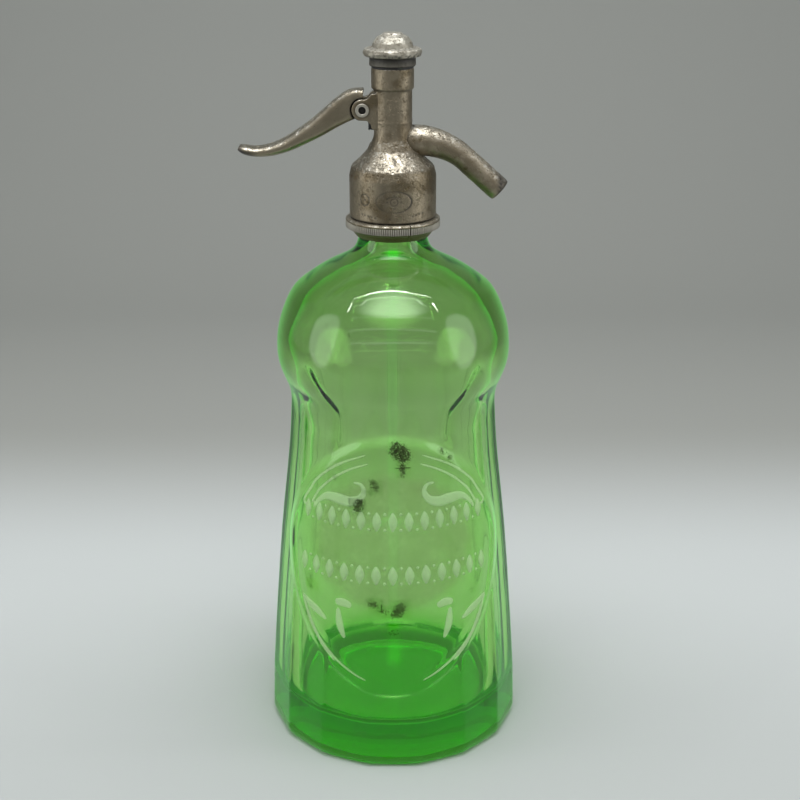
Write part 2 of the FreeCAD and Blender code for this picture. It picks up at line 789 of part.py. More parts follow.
# tubular rivet, its length along Y
pin = newBody("lever_pin")
flangeSeat = "0.5 * ears_width"
revolve(pin, "turning", [
    ("pin_bore_radius", "-%s - pin_flange_height" % flangeSeat),
    ("pin_flange_radius", "-%s - pin_flange_height" % flangeSeat),
    ("pin_flange_radius", "-%s" % flangeSeat),
    ("pin_radius", "-%s" % flangeSeat),
    ("pin_radius", flangeSeat),
    ("pin_flange_radius", flangeSeat),
    ("pin_flange_radius", flangeSeat + " + pin_flange_height"),
    ("pin_bore_radius", flangeSeat + " + pin_flange_height"),
])
pin.Placement = Placement(Vector(0, 0, 0), Rotation(Vector(1, 0, 0), 90))
pin.setExpression("Placement.Base.x", bound("-pivot_reach"))
pin.setExpression("Placement.Base.z", bound("pivot_level"))

cap = turned("cap", [
    ("spigot_bore_radius", "crown_sleeve_top - spigot_length"),
    ("spigot_radius - 0.5", "crown_sleeve_top - spigot_length"),
    ("spigot_radius", "crown_sleeve_top - spigot_length + 0.5"),
    ("spigot_radius", capSeat),
    ("cap_ring_radius - 0.4", capSeat),
    ("cap_ring_radius", capSeat + " + 0.4"),
    ("cap_ring_radius", brimBottom),
    ("cap_ring_radius + 0.9", brimBottom, "brim_radius", brimBottom + " + 0.5 * brim_height"),
    ("brim_radius - 2", brimTop),
    ("dome_radius", brimTop, "0.88 * dome_radius", brimTop + " + 0.53 * dome_height"),
    ("button_radius", brimTop + " + 0.92 * dome_height"),
    ("0.7 * button_radius", domeTop),
    ("0", domeTop),
    ("0", springRoof),
    ("spigot_bore_radius", springRoof),
])

capWasher = turned("cap_washer", [
    ("spigot_radius + seat_fit", "crown_sleeve_top"),
    ("crown_sleeve_radius - 0.2", "crown_sleeve_top"),
    ("crown_sleeve_radius - 0.2", capSeat),
    ("spigot_radius + seat_fit", capSeat),
])

# plunger: rod, yoke round the lever tongue and backing flange for the valve rubber
plunger = turned("plunger", [
    ("0", rubberBottom + " - valve_nut_height - 0.5"),
    ("stem_radius", rubberBottom + " - valve_nut_height - 0.5"),
    ("stem_radius", rubberTop),
    ("flange_radius", rubberTop),
    ("flange_radius", flangeTop),
    ("rod_radius", flangeTop),
    ("rod_radius", "yoke_bottom"),
    ("yoke_radius", "yoke_bottom"),
    ("yoke_radius", "yoke_top"),
    ("rod_radius", "yoke_top"),
    ("rod_radius", "rod_top"),
    ("0", "rod_top"),
])


def drawWindow(sketch):
    low = "pivot_level - tongue_nose_radius - window_drop"
    high = "pivot_level + tongue_nose_radius + window_play"
    drawOutline(sketch, [
        ("-yoke_radius - 1", low),
        ("tongue_overreach + 1.2", low),
        ("tongue_overreach + 1.2", high),
        ("-yoke_radius - 1", high),
    ])


pocketAcross(plunger, "window", drawWindow, "window_width")

valveRubber = turned("valve_rubber", [
    ("stem_radius + seat_fit", rubberBottom),
    ("rubber_radius", rubberBottom),
    ("rubber_radius", rubberTop),
    ("stem_radius + seat_fit", rubberTop),
])

valveNut = newBody("valve_nut")
nutSketch = newSketch(valveNut, "hexagon", "XY_Plane", rubberBottom + " - valve_nut_height")
for index in range(6):
    first = math.radians(60 * index)
    second = math.radians(60 * index + 60)
    radius = reading("valve_nut_radius")
    nutSketch.addGeometry(Part.LineSegment(
        Vector(radius * math.cos(first), radius * math.sin(first), 0),
        Vector(radius * math.cos(second), radius * math.sin(second), 0)), False)
for index in range(6):
    nutSketch.addConstraint(Sketcher.Constraint("Coincident", index, 2, (index + 1) % 6, 1))
outer = nutSketch.addGeometry(
    Part.Circle(Vector(0, 0, 0), Vector(0, 0, 1), reading("valve_nut_radius")), True)
nutSketch.addConstraint(Sketcher.Constraint("Coincident", outer, 3, -1, 1))
for index in range(6):
    nutSketch.addConstraint(Sketcher.Constraint("PointOnObject", index, 1, outer))
for index in range(5):
    nutSketch.addConstraint(Sketcher.Constraint("Equal", index, index + 1))
nutSketch.addConstraint(Sketcher.Constraint("PointOnObject", 0, 1, -1))
acrossNut = nutSketch.addConstraint(
    Sketcher.Constraint("Radius", outer, reading("valve_nut_radius")))
nutSketch.setExpression("Constraints[%d]" % acrossNut, bound("valve_nut_radius"))
drawCircle(nutSketch, "0", "0", "stem_radius + seat_fit")
nutPad = valveNut.newObject("PartDesign::Pad", "valve_nut_pad")
nutPad.Profile = nutSketch
nutPad.setExpression("Length", bound("valve_nut_height"))
doc.recompute()

valveSeat = turned("valve_seat", [
    ("seat_hole_radius", "seat_bottom"),
    ("seat_bore_radius - seat_fit", "seat_bottom"),
    ("seat_bore_radius - seat_fit", "seat_top - 0.4"),
    ("seat_hole_radius + 1.1", "seat_top - 0.4"),
    ("seat_hole_radius + 0.5", "seat_top"),
    ("seat_hole_radius", "seat_top"),
])

pistonPacking = turned("piston_packing", [
    (rodHole, "web_top"),
    ("gland_radius - seat_fit", "web_top"),
    ("gland_radius - seat_fit", packingTop),
    (rodHole, packingTop),
])

follower = turned("packing_follower", [
    ("rod_radius + 0.3", packingTop),
    ("gland_radius - seat_fit", packingTop),
    ("gland_radius - seat_fit", followerTop),
    ("rod_radius + 0.3", followerTop),
])

springWasher = turned("spring_washer", [
    ("rod_radius + seat_fit", "yoke_top"),
    ("yoke_radius", "yoke_top"),
    ("yoke_radius", "yoke_top + spring_washer_height"),
    ("rod_radius + seat_fit", "yoke_top + spring_washer_height"),
])


def springShape():
    """A round-wire coil between the washer on the yoke and the roof of the cap."""
    wire = reading("spring_wire")
    radius = reading("spring_radius")
    turns = int(reading("spring_turns"))
    seatGap = 0.15
    bottom = reading("yoke_top + spring_washer_height") + seatGap + 0.5 * wire
    top = reading(springRoof) - seatGap - 0.5 * wire
    pitch = (top - bottom) / turns
    edges = []
    steps = 4 * turns
    for index in range(steps):
        stations = []
        for share in (0.0, 0.5, 1.0):
            turn = 2 * math.pi * (index + share) / 4
            stations.append(Vector(radius * math.cos(turn), radius * math.sin(turn),
                                   bottom + pitch * (index + share) / 4))
        edges.append(arcThrough(*stations))
    path = Part.Wire(edges)
    tangent = path.Edges[0].tangentAt(path.Edges[0].FirstParameter)
    ring = Part.Wire([Part.Circle(Vector(radius, 0, bottom), tangent, 0.5 * wire).toShape()])
    print("least gap between the coils: %.2f" % (pitch - wire))
    return path.makePipeShell([ring], True, True)


spring = solidFeature("plunger_spring", springShape())

# dip tube with its rubber and the hollow nut that clamps it
sealTop = "seat_bottom"
sealBottom = "seat_bottom - tube_seal_height"
tubeNut = turned("tube_nut", [
    ("tube_radius + 0.3", "skirt_ceiling - tube_nut_flange_height"),
    ("tube_nut_flange_radius - 0.8", "skirt_ceiling - tube_nut_flange_height"),
    ("tube_nut_flange_radius", "skirt_ceiling - tube_nut_flange_height + 0.8"),
    ("tube_nut_flange_radius", "skirt_ceiling - seat_fit"),
    ("nut_bore_radius - seat_fit", "skirt_ceiling - seat_fit"),
    ("nut_bore_radius - seat_fit", sealBottom),
    ("tube_radius + 0.3", sealBottom),
])

tubeSeal = turned("tube_seal", [
    ("tube_radius + seat_fit", sealBottom),
    ("nut_bore_radius - seat_fit", sealBottom),
    ("nut_bore_radius - seat_fit", sealTop),
    ("tube_radius + seat_fit", sealTop),
])

dipTube = turned("dip_tube", [
    ("tube_bore_radius", "tube_foot"),
    ("tube_radius", "tube_foot"),
    ("tube_radius", "seat_bottom"),
    ("tube_bore_radius", "seat_bottom"),
])

# the dark strip that closes the slot below the lever
strip = doc.addObject("Part::Box", "slot_strip_box")
strip.Label = "slot_strip"
strip.setExpression("Length", bound("strip_thickness"))
strip.setExpression("Width", bound("strip_width"))
strip.setExpression("Height", bound("strip_height"))
strip.setExpression("Placement.Base.x", bound("-column_radius + 0.45 - strip_thickness"))
strip.setExpression("Placement.Base.y", bound("-0.5 * strip_width"))
strip.setExpression("Placement.Base.z", bound("strip_top - strip_height"))

pieces = [bottle, rightHalf, leftHalf, gasket, head, spout, lever, pin, cap, capWasher, plunger,
          valveRubber, valveNut, valveSeat, pistonPacking, follower, springWasher, spring,
          tubeNut, tubeSeal, dipTube, strip]

doc.recompute()
for item in doc.Objects:
    if "Invalid" in item.State or "Error" in item.State:
        raise RuntimeError("%s is in state %s" % (item.Name, item.State))

os.makedirs("parts", exist_ok=True)
for piece in pieces:
    shape = piece.Shape
    if shape.isNull() or not shape.isValid() or shape.Volume < 1:
        raise RuntimeError("bad shape: " + piece.Label)
    if len(shape.Solids) != 1:
        raise RuntimeError("%s has %d solids" % (piece.Label, len(shape.Solids)))
    shape.exportStep("parts/%s.step" % piece.Label)
    box = shape.BoundBox
    print("%-18s volume %9.1f  z %7.2f to %7.2f" % (piece.Label, shape.Volume, box.ZMin, box.ZMax))
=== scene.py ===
import bpy
import bmesh
import math
from mathutils import Matrix, Vector, noise


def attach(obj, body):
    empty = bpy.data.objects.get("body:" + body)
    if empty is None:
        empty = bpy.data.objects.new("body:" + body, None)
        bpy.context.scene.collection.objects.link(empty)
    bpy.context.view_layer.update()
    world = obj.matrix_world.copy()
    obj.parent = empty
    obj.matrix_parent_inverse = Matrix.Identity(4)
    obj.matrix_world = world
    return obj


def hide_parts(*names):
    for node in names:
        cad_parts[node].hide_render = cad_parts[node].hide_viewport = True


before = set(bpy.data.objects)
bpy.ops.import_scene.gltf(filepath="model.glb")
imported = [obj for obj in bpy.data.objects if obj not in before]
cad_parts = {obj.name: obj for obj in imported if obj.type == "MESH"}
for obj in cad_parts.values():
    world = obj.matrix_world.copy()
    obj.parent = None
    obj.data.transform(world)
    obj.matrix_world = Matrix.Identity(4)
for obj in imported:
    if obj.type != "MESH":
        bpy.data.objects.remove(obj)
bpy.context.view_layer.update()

millimetre = 0.001


# camera

photoCamera = {
    "side": 0.003,       # metres right of the bottle's axis
    "back": 0.590,
    "height": 0.374,
    "pitch": 20.6,       # degrees below the horizon
    "lens": 64.4,
}


def makeCamera(look):
    data = bpy.data.cameras.new("photoCamera")
    data.lens = look["lens"]
    data.sensor_width = 36.0
    data.clip_start = 0.01
    camera = bpy.data.objects.new("photoCamera", data)
    camera.location = (look["side"], -look["back"], look["height"])
    camera.rotation_euler = (math.radians(90 - look["pitch"]), 0, 0)
    bpy.context.scene.collection.objects.link(camera)
    bpy.context.scene.camera = camera


makeCamera(photoCamera)
bpy.context.scene.view_settings.view_transform = "Standard"
print("camera set")


# small helpers for meshes

def newObject(name, mesh):
    obj = bpy.data.objects.new(name, mesh)
    bpy.context.scene.collection.objects.link(obj)
    return obj


def meshFrom(name, points, faces, smooth=True):
    mesh = bpy.data.meshes.new(name)
    mesh.from_pydata([Vector(p) * millimetre for p in points], [], faces)
    mesh.update()
    if smooth:
        mesh.shade_smooth()
    return mesh


def outward(mesh, merge=1e-7):
    # merges points closer than that and turns every face of a closed shell outward
    work = bmesh.new()
    work.from_mesh(mesh)
    if merge:
        bmesh.ops.remove_doubles(work, verts=work.verts, dist=merge)
    bmesh.ops.recalc_face_normals(work, faces=work.faces)
    work.to_mesh(mesh)
    work.free()
    mesh.update()


def dressed(name, mesh, material):
    # an object of that mesh in one material, shaded smooth
    mesh.shade_smooth()
    mesh.materials.append(material)
    return newObject(name, mesh)


def turnsOf(count):
    return [2 * math.pi * index / count for index in range(count)]


def ringFaces(rings, sides, closed=False):
    # quads between neighbouring rings of points, each ring closed on itself
    faces = []
    for ring in range(rings if closed else rings - 1):
        here, there = ring * sides, (ring + 1) % rings * sides
        for side in range(sides):
            after = (side + 1) % sides
            faces.append((here + side, here + after, there + after, there + side))
    return faces


def sheetFaces(rows, columns):
    # quads of a flat grid of points, and the ring of points along its edge
    wide = columns + 1
    faces = [(row * wide + column, row * wide + column + 1,
              (row + 1) * wide + column + 1, (row + 1) * wide + column)
             for row in range(rows) for column in range(columns)]
    ring = (list(range(wide)) + [row * wide + columns for row in range(1, rows + 1)]
            + [rows * wide + column for column in range(columns - 1, -1, -1)]
            + [row * wide for row in range(rows - 1, 0, -1)])
    return faces, ring


def lathe(name, outline, columns, start=0.0, sweep=360.0):
    # outline is a closed ring of (radius, height) in millimetres, turned about Z
    full = sweep == 360.0
    stations = columns if full else columns + 1
    rings = len(outline)
    points = []
    for column in range(stations):
        angle = math.radians(start + sweep * column / columns)
        points += [(radius * math.cos(angle), radius * math.sin(angle), height)
                   for radius, height in outline]
    faces = []
    for column in range(columns):
        here, there = column * rings, (column + 1) % stations * rings
        for row in range(rings):
            after = (row + 1) % rings
            faces.append((here + row, there + row, there + after, here + after))
    if not full:
        faces += [tuple(range(rings)),
                  tuple(reversed(range(columns * rings, (columns + 1) * rings)))]
    mesh = meshFrom(name, points, faces)
    outward(mesh)
    return mesh


def rounded(corners, radius=0.4, steps=4, closed=True):
    # rounds the corners of an outline, each corner (x, y) or (x, y, its own radius)
    straight = math.pi - 0.02
    result = []
    count = len(corners)
    for index, corner in enumerate(corners):
        here = Vector(corner[:2])
        size = corner[2] if len(corner) > 2 else radius
        first = Vector(corners[index - 1][:2]) - here
        second = Vector(corners[(index + 1) % count][:2]) - here
        turn = first.angle(second, math.pi)
        openEnd = not closed and index in (0, count - 1)
        if size <= 0 or openEnd or turn > straight:
            result.append(tuple(here))
            continue
        reach = min(size / math.tan(turn / 2), 0.48 * first.length, 0.48 * second.length)
        one = here + first.normalized() * reach
        two = here + second.normalized() * reach
        for step in range(steps + 1):
            share = step / steps
            result.append(tuple((1 - share) ** 2 * one + 2 * share * (1 - share) * here
                                + share ** 2 * two))
    return result


def applied(obj, name=None):
    # the object with its modifiers made real, as a plain mesh
    graph = bpy.context.evaluated_depsgraph_get()
    graph.update()
    mesh = bpy.data.meshes.new_from_object(obj.evaluated_get(graph))
    old = obj.data
    obj.modifiers.clear()
    obj.data = mesh
    bpy.data.meshes.remove(old)
    if name:
        obj.name = name
        mesh.name = name
    return obj


def cutBy(obj, cutters, operation="DIFFERENCE"):
    for cutter in cutters:
        step = obj.modifiers.new("cut", "BOOLEAN")
        step.operation = operation
        step.solver = "EXACT"
        step.object = cutter
        applied(obj)
        bpy.data.objects.remove(cutter)
    return obj


def remeshed(obj, voxel, smoothing=4):
    step = obj.modifiers.new("voxels", "REMESH")
    step.mode = "VOXEL"
    step.voxel_size = voxel * millimetre
    step.use_smooth_shade = True
    soft = obj.modifiers.new("soften", "SMOOTH")
    soft.factor = 0.5
    soft.iterations = smoothing
    applied(obj)
    obj.data.shade_smooth()
    return obj


def bar(name, outline, low, high):
    # an outline of (x, z) pulled along Y from low to high
    count = len(outline)
    points = [(x, low, z) for x, z in outline] + [(x, high, z) for x, z in outline]
    faces = [tuple(range(count)), tuple(reversed(range(count, 2 * count)))]
    for index in range(count):
        after = (index + 1) % count
        faces.append((index, index + count, after + count, after))
    mesh = meshFrom(name, points, faces, False)
    outward(mesh)
    return newObject(name, mesh)


def rodAlong(name, centre, axis, radius, length, sides=48):
    mesh = bpy.data.meshes.new(name)
    work = bmesh.new()
    bmesh.ops.create_cone(work, cap_ends=True, segments=sides, radius1=radius * millimetre,
                          radius2=radius * millimetre, depth=length * millimetre)
    turn = Vector((0, 0, 1)).rotation_difference(Vector(axis)).to_matrix().to_4x4()
    work.transform(Matrix.Translation(Vector(centre) * millimetre) @ turn)
    work.to_mesh(mesh)
    work.free()
    return newObject(name, mesh)


def markGrimeAndShade(obj, rule):
    # a value per point, 0 clean to 1 dark, that the metal materials read: dirt and stains, and
    # painted shade inside the rivet's bore
    layer = obj.data.attributes.new("grimeAndShade", "FLOAT", "POINT")
    for point, item in zip(obj.data.vertices, layer.data):
        item.value = max(0.0, min(1.0, rule(point.co / millimetre)))


def near(value, centre, width):
    return math.exp(-((value - centre) / width) ** 2)


# shader node helpers; the tree is read from the socket or node handed in

def addNode(tree, kind, **values):
    node = tree.nodes.new(kind)
    for key, value in values.items():
        setattr(node, key, value)
    return node


def fill(node, values):
    # each input gets its constant, or a link from another node's output
    for label, value in values.items():
        if isinstance(value, bpy.types.NodeSocket):
            node.id_data.links.new(value, node.inputs[label])
        else:
            node.inputs[label].default_value = (*value, 1.0) if isinstance(value, tuple) else value
    return node


def newGroup(name, inputs, outputs):
    tree = bpy.data.node_groups.new(name, "ShaderNodeTree")
    for label, default in inputs.items():
        socket = tree.interface.new_socket(label, in_out="INPUT", socket_type="NodeSocketFloat")
        socket.default_value = default
    for label in outputs:
        tree.interface.new_socket(label, in_out="OUTPUT", socket_type="NodeSocketFloat")
    return tree, addNode(tree, "NodeGroupInput"), addNode(tree, "NodeGroupOutput")


def mathNode(operation, first, second, clamp=False):
    tree = (first if isinstance(first, bpy.types.NodeSocket) else second).id_data
    node = addNode(tree, "ShaderNodeMath", operation=operation, use_clamp=clamp)
    return fill(node, {0: first, 1: second}).outputs[0]


def times(first, second, clamp=False):
    return mathNode("MULTIPLY", first, second, clamp)


def plus(first, second, clamp=False):
    return mathNode("ADD", first, second, clamp)


def minus(first, second, clamp=False):
    return mathNode("SUBTRACT", first, second, clamp)


def rampNode(value, low, high):
    node = addNode(value.id_data, "ShaderNodeMapRange", interpolation_type="SMOOTHSTEP")
    return fill(node, {"Value": value, "From Min": low, "From Max": high}).outputs["Result"]


def mixColour(factor, first, second):
    node = addNode(factor.id_data, "ShaderNodeMix", data_type="RGBA")
    return fill(node, {0: factor, 6: first, 7: second}).outputs[2]


def noiseNode(place, scale, detail=3.0, roughness=0.55):
    node = addNode(place.id_data, "ShaderNodeTexNoise")
    return fill(node, {"Vector": place, "Scale": scale, "Detail": detail,
                       "Roughness": roughness}).outputs["Fac"]


def bumpNode(height, strength, distance):
    node = addNode(height.id_data, "ShaderNodeBump")
    return fill(node, {"Height": height, "Strength": strength,
                       "Distance": distance}).outputs["Normal"]


def partOf(vector, axis):
    return fill(addNode(vector.id_data, "ShaderNodeSeparateXYZ"), {0: vector}).outputs[axis]


def objectPlace(tree):
    return addNode(tree, "ShaderNodeTexCoord").outputs["Object"]


def attributeNode(tree, name):
    return addNode(tree, "ShaderNodeAttribute", attribute_name=name).outputs["Fac"]


def newMaterial(name):
    material = bpy.data.materials.new(name)
    material.use_nodes = True
    tree = material.node_tree
    return material, tree, tree.nodes["Principled BSDF"]


# old tinned metal: pitting, dull patches, and rubbed places that are lighter on faces that look
# up, partly wear and partly a painted highlight

surfaceLook = {
    # each range runs from where a pattern starts to where it is full
    "patchScale": 95.0, "patches": (0.42, 0.62), "pitScale": 420.0, "pits": (0.56, 0.66),
    "speckScale": 1500.0, "specks": (0.57, 0.68), "rubbed": (0.47, 0.36),
    # faces that look up are lightened: a painted highlight, mixed with rubbed wear
    "upper": (0.15, 0.85),      # how far a face looks up
}


def castSurfaceGroup(look):
    tree, into, out = newGroup("castSurface", {"Pitting": 0.5, "Patchiness": 0.5,
                                               "Upper Wear And Sheen": 0.5},
                               ("Dark", "Bright", "Rough", "Height"))
    place = objectPlace(tree)
    facing = addNode(tree, "ShaderNodeNewGeometry").outputs["Normal"]
    upper = rampNode(partOf(facing, "Z"), *look["upper"])
    middle = noiseNode(place, look["pitScale"], 4.0, 0.65)
    fine = noiseNode(place, look["speckScale"], 3.0, 0.7)
    patch = rampNode(noiseNode(place, look["patchScale"], 4.0, 0.6), *look["patches"])
    specks = rampNode(fine, *look["specks"])
    # faces that look up get a painted highlight, and more pits
    upperWearAndSheen = times(upper, into.outputs["Upper Wear And Sheen"])
    pits = times(mathNode("MAXIMUM", rampNode(middle, *look["pits"]), specks),
                 plus(into.outputs["Pitting"], upperWearAndSheen), True)
    worn = minus(plus(rampNode(middle, *look["rubbed"]), 0.35), times(specks, 0.7))
    relief = minus(times(middle, 0.5), times(pits, 0.9))
    fill(out, {
        "Dark": plus(times(pits, 0.75), times(patch, into.outputs["Patchiness"]), True),
        # rubbed wear made light on faces that look up: partly wear, partly a painted highlight
        "Bright": times(worn, upperWearAndSheen, True),
        "Rough": plus(times(middle, 0.5), times(pits, 0.4)),
        "Height": plus(relief, times(fine, 0.25)),
    })
    return tree


castSurface = castSurfaceGroup(surfaceLook)


def castMetal(name, look):
    material, tree, shader = newMaterial(name)
    surface = addNode(tree, "ShaderNodeGroup", node_tree=castSurface)
    fill(surface, {"Pitting": look["pitting"], "Patchiness": look["patchiness"],
                   "Upper Wear And Sheen": look["upperWearAndSheen"]})
    # darker where the metal carries dirt, and black where shade is painted into a hole
    grimeAndShade = attributeNode(tree, "grimeAndShade")
    colour = mixColour(surface.outputs["Dark"], look["base"], look["dark"])
    # the light colour on faces that look up is rubbed tin and a painted highlight
    colour = mixColour(surface.outputs["Bright"], colour, look["wearSheenColour"])
    fill(shader, {
        "Base Color": mixColour(grimeAndShade, colour, look["grimeAndShade"]),
        "Roughness": plus(times(surface.outputs["Rough"], look["roughRange"]),
                          look["roughness"], True),
        "Metallic": minus(1.0, times(grimeAndShade, 0.8), True),
        "Normal": bumpNode(surface.outputs["Height"], look["bump"], look["bumpHeight"]),
    })
    return material


# the light colour is rubbed tin and a painted highlight on faces that look up, here and in the
# variants below
tinLook = {
    "base": (0.24, 0.205, 0.145), "dark": (0.10, 0.075, 0.04), "wearSheenColour": (0.62, 0.595, 0.52),
    # the darkest colour is dirt, and painted shade where it is put into a hole
    "grimeAndShade": (0.014, 0.012, 0.008), "pitting": 0.45, "patchiness": 0.65, "upperWearAndSheen": 1.0,
    "roughness": 0.31, "roughRange": 0.42, "bump": 0.85, "bumpHeight": 0.00035,
}
wornTin = castMetal("wornTin", tinLook)
spoutTin = castMetal("spoutTin", {**tinLook, "base": (0.30, 0.26, 0.19), "patchiness": 0.5})
capTin = castMetal("capTin", {**tinLook, "base": (0.37, 0.35, 0.29), "patchiness": 0.3,
                              "wearSheenColour": (0.78, 0.76, 0.68), "roughness": 0.42})
leverTin = castMetal("leverTin", {**tinLook, "base": (0.26, 0.225, 0.16), "pitting": 0.12,
                                  "patchiness": 0.2, "upperWearAndSheen": 0.9, "roughness": 0.2})
rivetTin = castMetal("rivetTin", {**tinLook, "base": (0.52, 0.49, 0.42), "pitting": 0.1,
                                  "patchiness": 0.1, "upperWearAndSheen": 0.9, "roughness": 0.24,
                                  "wearSheenColour": (0.8, 0.78, 0.7)})
collarTin = castMetal("collarTin", {**tinLook, "base": (0.27, 0.235, 0.165),
                                    "grimeAndShade": (0.075, 0.055, 0.015)})


def plainMetal(name, light, dark, roughness):
    material, tree, shader = newMaterial(name)
    cloud = noiseNode(objectPlace(tree), 300.0, 4.0)
    fill(shader, {"Base Color": mixColour(rampNode(cloud, 0.35, 0.7), light, dark),
                  "Roughness": plus(times(cloud, 0.25), roughness), "Metallic": 1.0})
    return material


dullBrass = plainMetal("dullBrass", (0.55, 0.42, 0.18), (0.22, 0.15, 0.06), 0.25)
springWire = plainMetal("springWire", (0.45, 0.45, 0.44), (0.25, 0.23, 0.2), 0.22)


def matteMaterial(name, light, dark, roughness):
    material, tree, shader = newMaterial(name)
    grain = noiseNode(objectPlace(tree), 350.0, 5.0, 0.65)
    fill(shader, {"Base Color": mixColour(grain, light, dark),
                  "Roughness": plus(times(grain, 0.25), roughness),
                  "Normal": bumpNode(grain, 0.6, 0.0003)})
    return material


agedRubber = matteMaterial("agedRubber", (0.028, 0.026, 0.024), (0.008, 0.008, 0.008), 0.5)
greasedLeather = matteMaterial("greasedLeather", (0.16, 0.08, 0.04), (0.05, 0.025, 0.012), 0.45)

glassLook = {
    "ior": 1.5, "haze": 0.12, "hazeScale": 60.0, "cloudy": (0.45, 0.8), "gloss": 0.26,
    "glossTint": (0.86, 1.0, 0.84), "waveScale": 26.0, "waveStrength": 0.25, "waveHeight": 0.0012,
    "tint": (0.44, 0.875, 0.06), "density": 120.0,
    # a painted faint green glow in thick glass, in place of the light that the path limit loses
    "deep": (6.2, 10.0), "deepGlowColour": (0.03, 1.0, 0.01), "glowStrength": 0.25,
    # a painted glow in the solid base, in place of light it would gather from the floor: metres
    # up, and colours of the glow
    "glow": (0.034, 0.006), "glowColour": (0.04, 0.34, 0.0),
    "baseGlowColour": (0.22, 1.0, 0.0),
    # a painted green glow where the glass is seen along its surface, in place of black
    "edge": (0.6, 0.92), "edgeGlowColour": (0.0, 0.75, 0.0),
}


def greenGlassMaterial(look):
    material, tree, shader = newMaterial("greenGlass")
    place = objectPlace(tree)
    # deeper rays in the glass get a painted green glow
    depth = addNode(tree, "ShaderNodeLightPath").outputs["Ray Depth"]
    deep = rampNode(depth, *look["deep"])
    glow = mixColour(deep, (0.0, 0.0, 0.0), look["deepGlowColour"])
    # where the glass is seen along its surface it gets a painted green glow
    slant = addNode(tree, "ShaderNodeLayerWeight").outputs["Facing"]
    glow = mixColour(rampNode(slant, *look["edge"]), glow, look["edgeGlowColour"])
    # low in the base the glass gets a painted green glow
    low = rampNode(partOf(place, "Z"), *look["glow"])
    haze = rampNode(noiseNode(place, look["hazeScale"], 4.0, 0.6), *look["cloudy"])
    wave = noiseNode(place, look["waveScale"], 2.0, 0.5)
    fill(shader, {
        "Base Color": (1.0, 1.0, 1.0), "Transmission Weight": 1.0, "IOR": look["ior"],
        "Specular IOR Level": look["gloss"], "Specular Tint": look["glossTint"],
        "Roughness": times(haze, look["haze"]),
        "Normal": bumpNode(wave, look["waveStrength"], look["waveHeight"]),
        "Emission Color": mixColour(low, glow, mixColour(deep, look["glowColour"],
                                                         look["baseGlowColour"])),
        "Emission Strength": look["glowStrength"],
    })
    volume = fill(addNode(tree, "ShaderNodeVolumeAbsorption"),
                  {"Color": look["tint"], "Density": look["density"]})
    fill(tree.nodes["Material Output"], {"Volume": volume.outputs["Volume"]})
    return material


greenGlass = greenGlassMaterial(glassLook)


def tubeGlassMaterial():
    # the photographed tube can't be made out, so it hardly bends light
    material, tree, shader = newMaterial("tubeGlass")
    fill(shader, {"Roughness": times(noiseNode(objectPlace(tree), 80.0, 3.0), 0.01),
                  "Base Color": (1.0, 1.0, 1.0), "Transmission Weight": 1.0, "IOR": 1.015})
    return material


tubeGlass = tubeGlassMaterial()


def filmMaterial(name, look):
    # thin matt film on the glass: its alpha is the "stain" attribute broken up by noise
    material, tree, shader = newMaterial(name)
    cloud = noiseNode(objectPlace(tree), look["scale"], 5.0, 0.7)
    stain = attributeNode(tree, "stain")
    broken = rampNode(plus(cloud, times(stain, look["reach"])), *look["range"])
    fill(shader, {"Alpha": times(times(broken, stain), look["cover"], True),
                  "Base Color": mixColour(cloud, look["light"], look["dark"]),
                  "Roughness": 0.8, "Specular IOR Level": 0.1})
    return material


frostedFilm = filmMaterial("frostedFilm", {
    "scale": 260.0, "reach": 0.3, "range": (0.35, 0.75), "cover": 0.5,
    "light": (0.55, 0.80, 0.42), "dark": (0.44, 0.68, 0.32)})
driedResidue = filmMaterial("driedResidue", {
    "scale": 1500.0, "reach": 0.3, "range": (0.62, 0.95), "cover": 0.62,
    "light": (0.06, 0.07, 0.03), "dark": (0.015, 0.02, 0.008)})
paleHaze = filmMaterial("paleHaze", {
    "scale": 130.0, "reach": 0.5, "range": (0.3, 1.1), "cover": 0.2,
    "light": (0.27, 0.30, 0.17), "dark": (0.19, 0.20, 0.10)})
print("materials ready")


# floor, backdrop and lights

stageLook = {
    "halfWidth": 1.8, "front": -1.6, "bend": 0.62, "bendRadius": 0.45, "top": 1.7,
    # the one paper is greyer in front, paler behind the bottle and grey further back and up the
    # wall: a painted gradient of light and shade
    "near": (0.45, 0.475, 0.47), "pale": (0.56, 0.59, 0.59), "grey": (0.36, 0.37, 0.35),
    "floorBlend": (-0.08, 0.12), "wallBlend": (0.14, 0.36),      # metres back
}


def makeStage(look):
    profile = [(look["front"], 0.0), (0.0, 0.0), (look["bend"], 0.0)]
    for step in range(1, 17):
        angle = math.radians(90 * step / 16)
        profile.append((look["bend"] + look["bendRadius"] * math.sin(angle),
                        look["bendRadius"] * (1 - math.cos(angle))))
    profile.append((look["bend"] + look["bendRadius"], look["top"]))
    points = [(side * look["halfWidth"], depth, height) for depth, height in profile
              for side in (-1, 1)]
    faces = [(2 * i, 2 * i + 1, 2 * i + 3, 2 * i + 2) for i in range(len(profile) - 1)]
    mesh = bpy.data.meshes.new("studioSweep")
    mesh.from_pydata(points, [], faces)
    mesh.shade_smooth()
    material, tree, shader = newMaterial("studioPaper")
    depth = partOf(objectPlace(tree), "Y")
    # painted light and shade: the floor turns paler behind the bottle, then grey towards the wall
    floor = mixColour(rampNode(depth, *look["floorBlend"]), look["near"], look["pale"])
    away = rampNode(depth, *look["wallBlend"])
    fill(shader, {"Base Color": mixColour(away, floor, look["grey"]), "Roughness": 0.85,
                  "Specular IOR Level": 0.15})
    mesh.materials.append(material)
    newObject("studioSweep", mesh)


makeStage(stageLook)

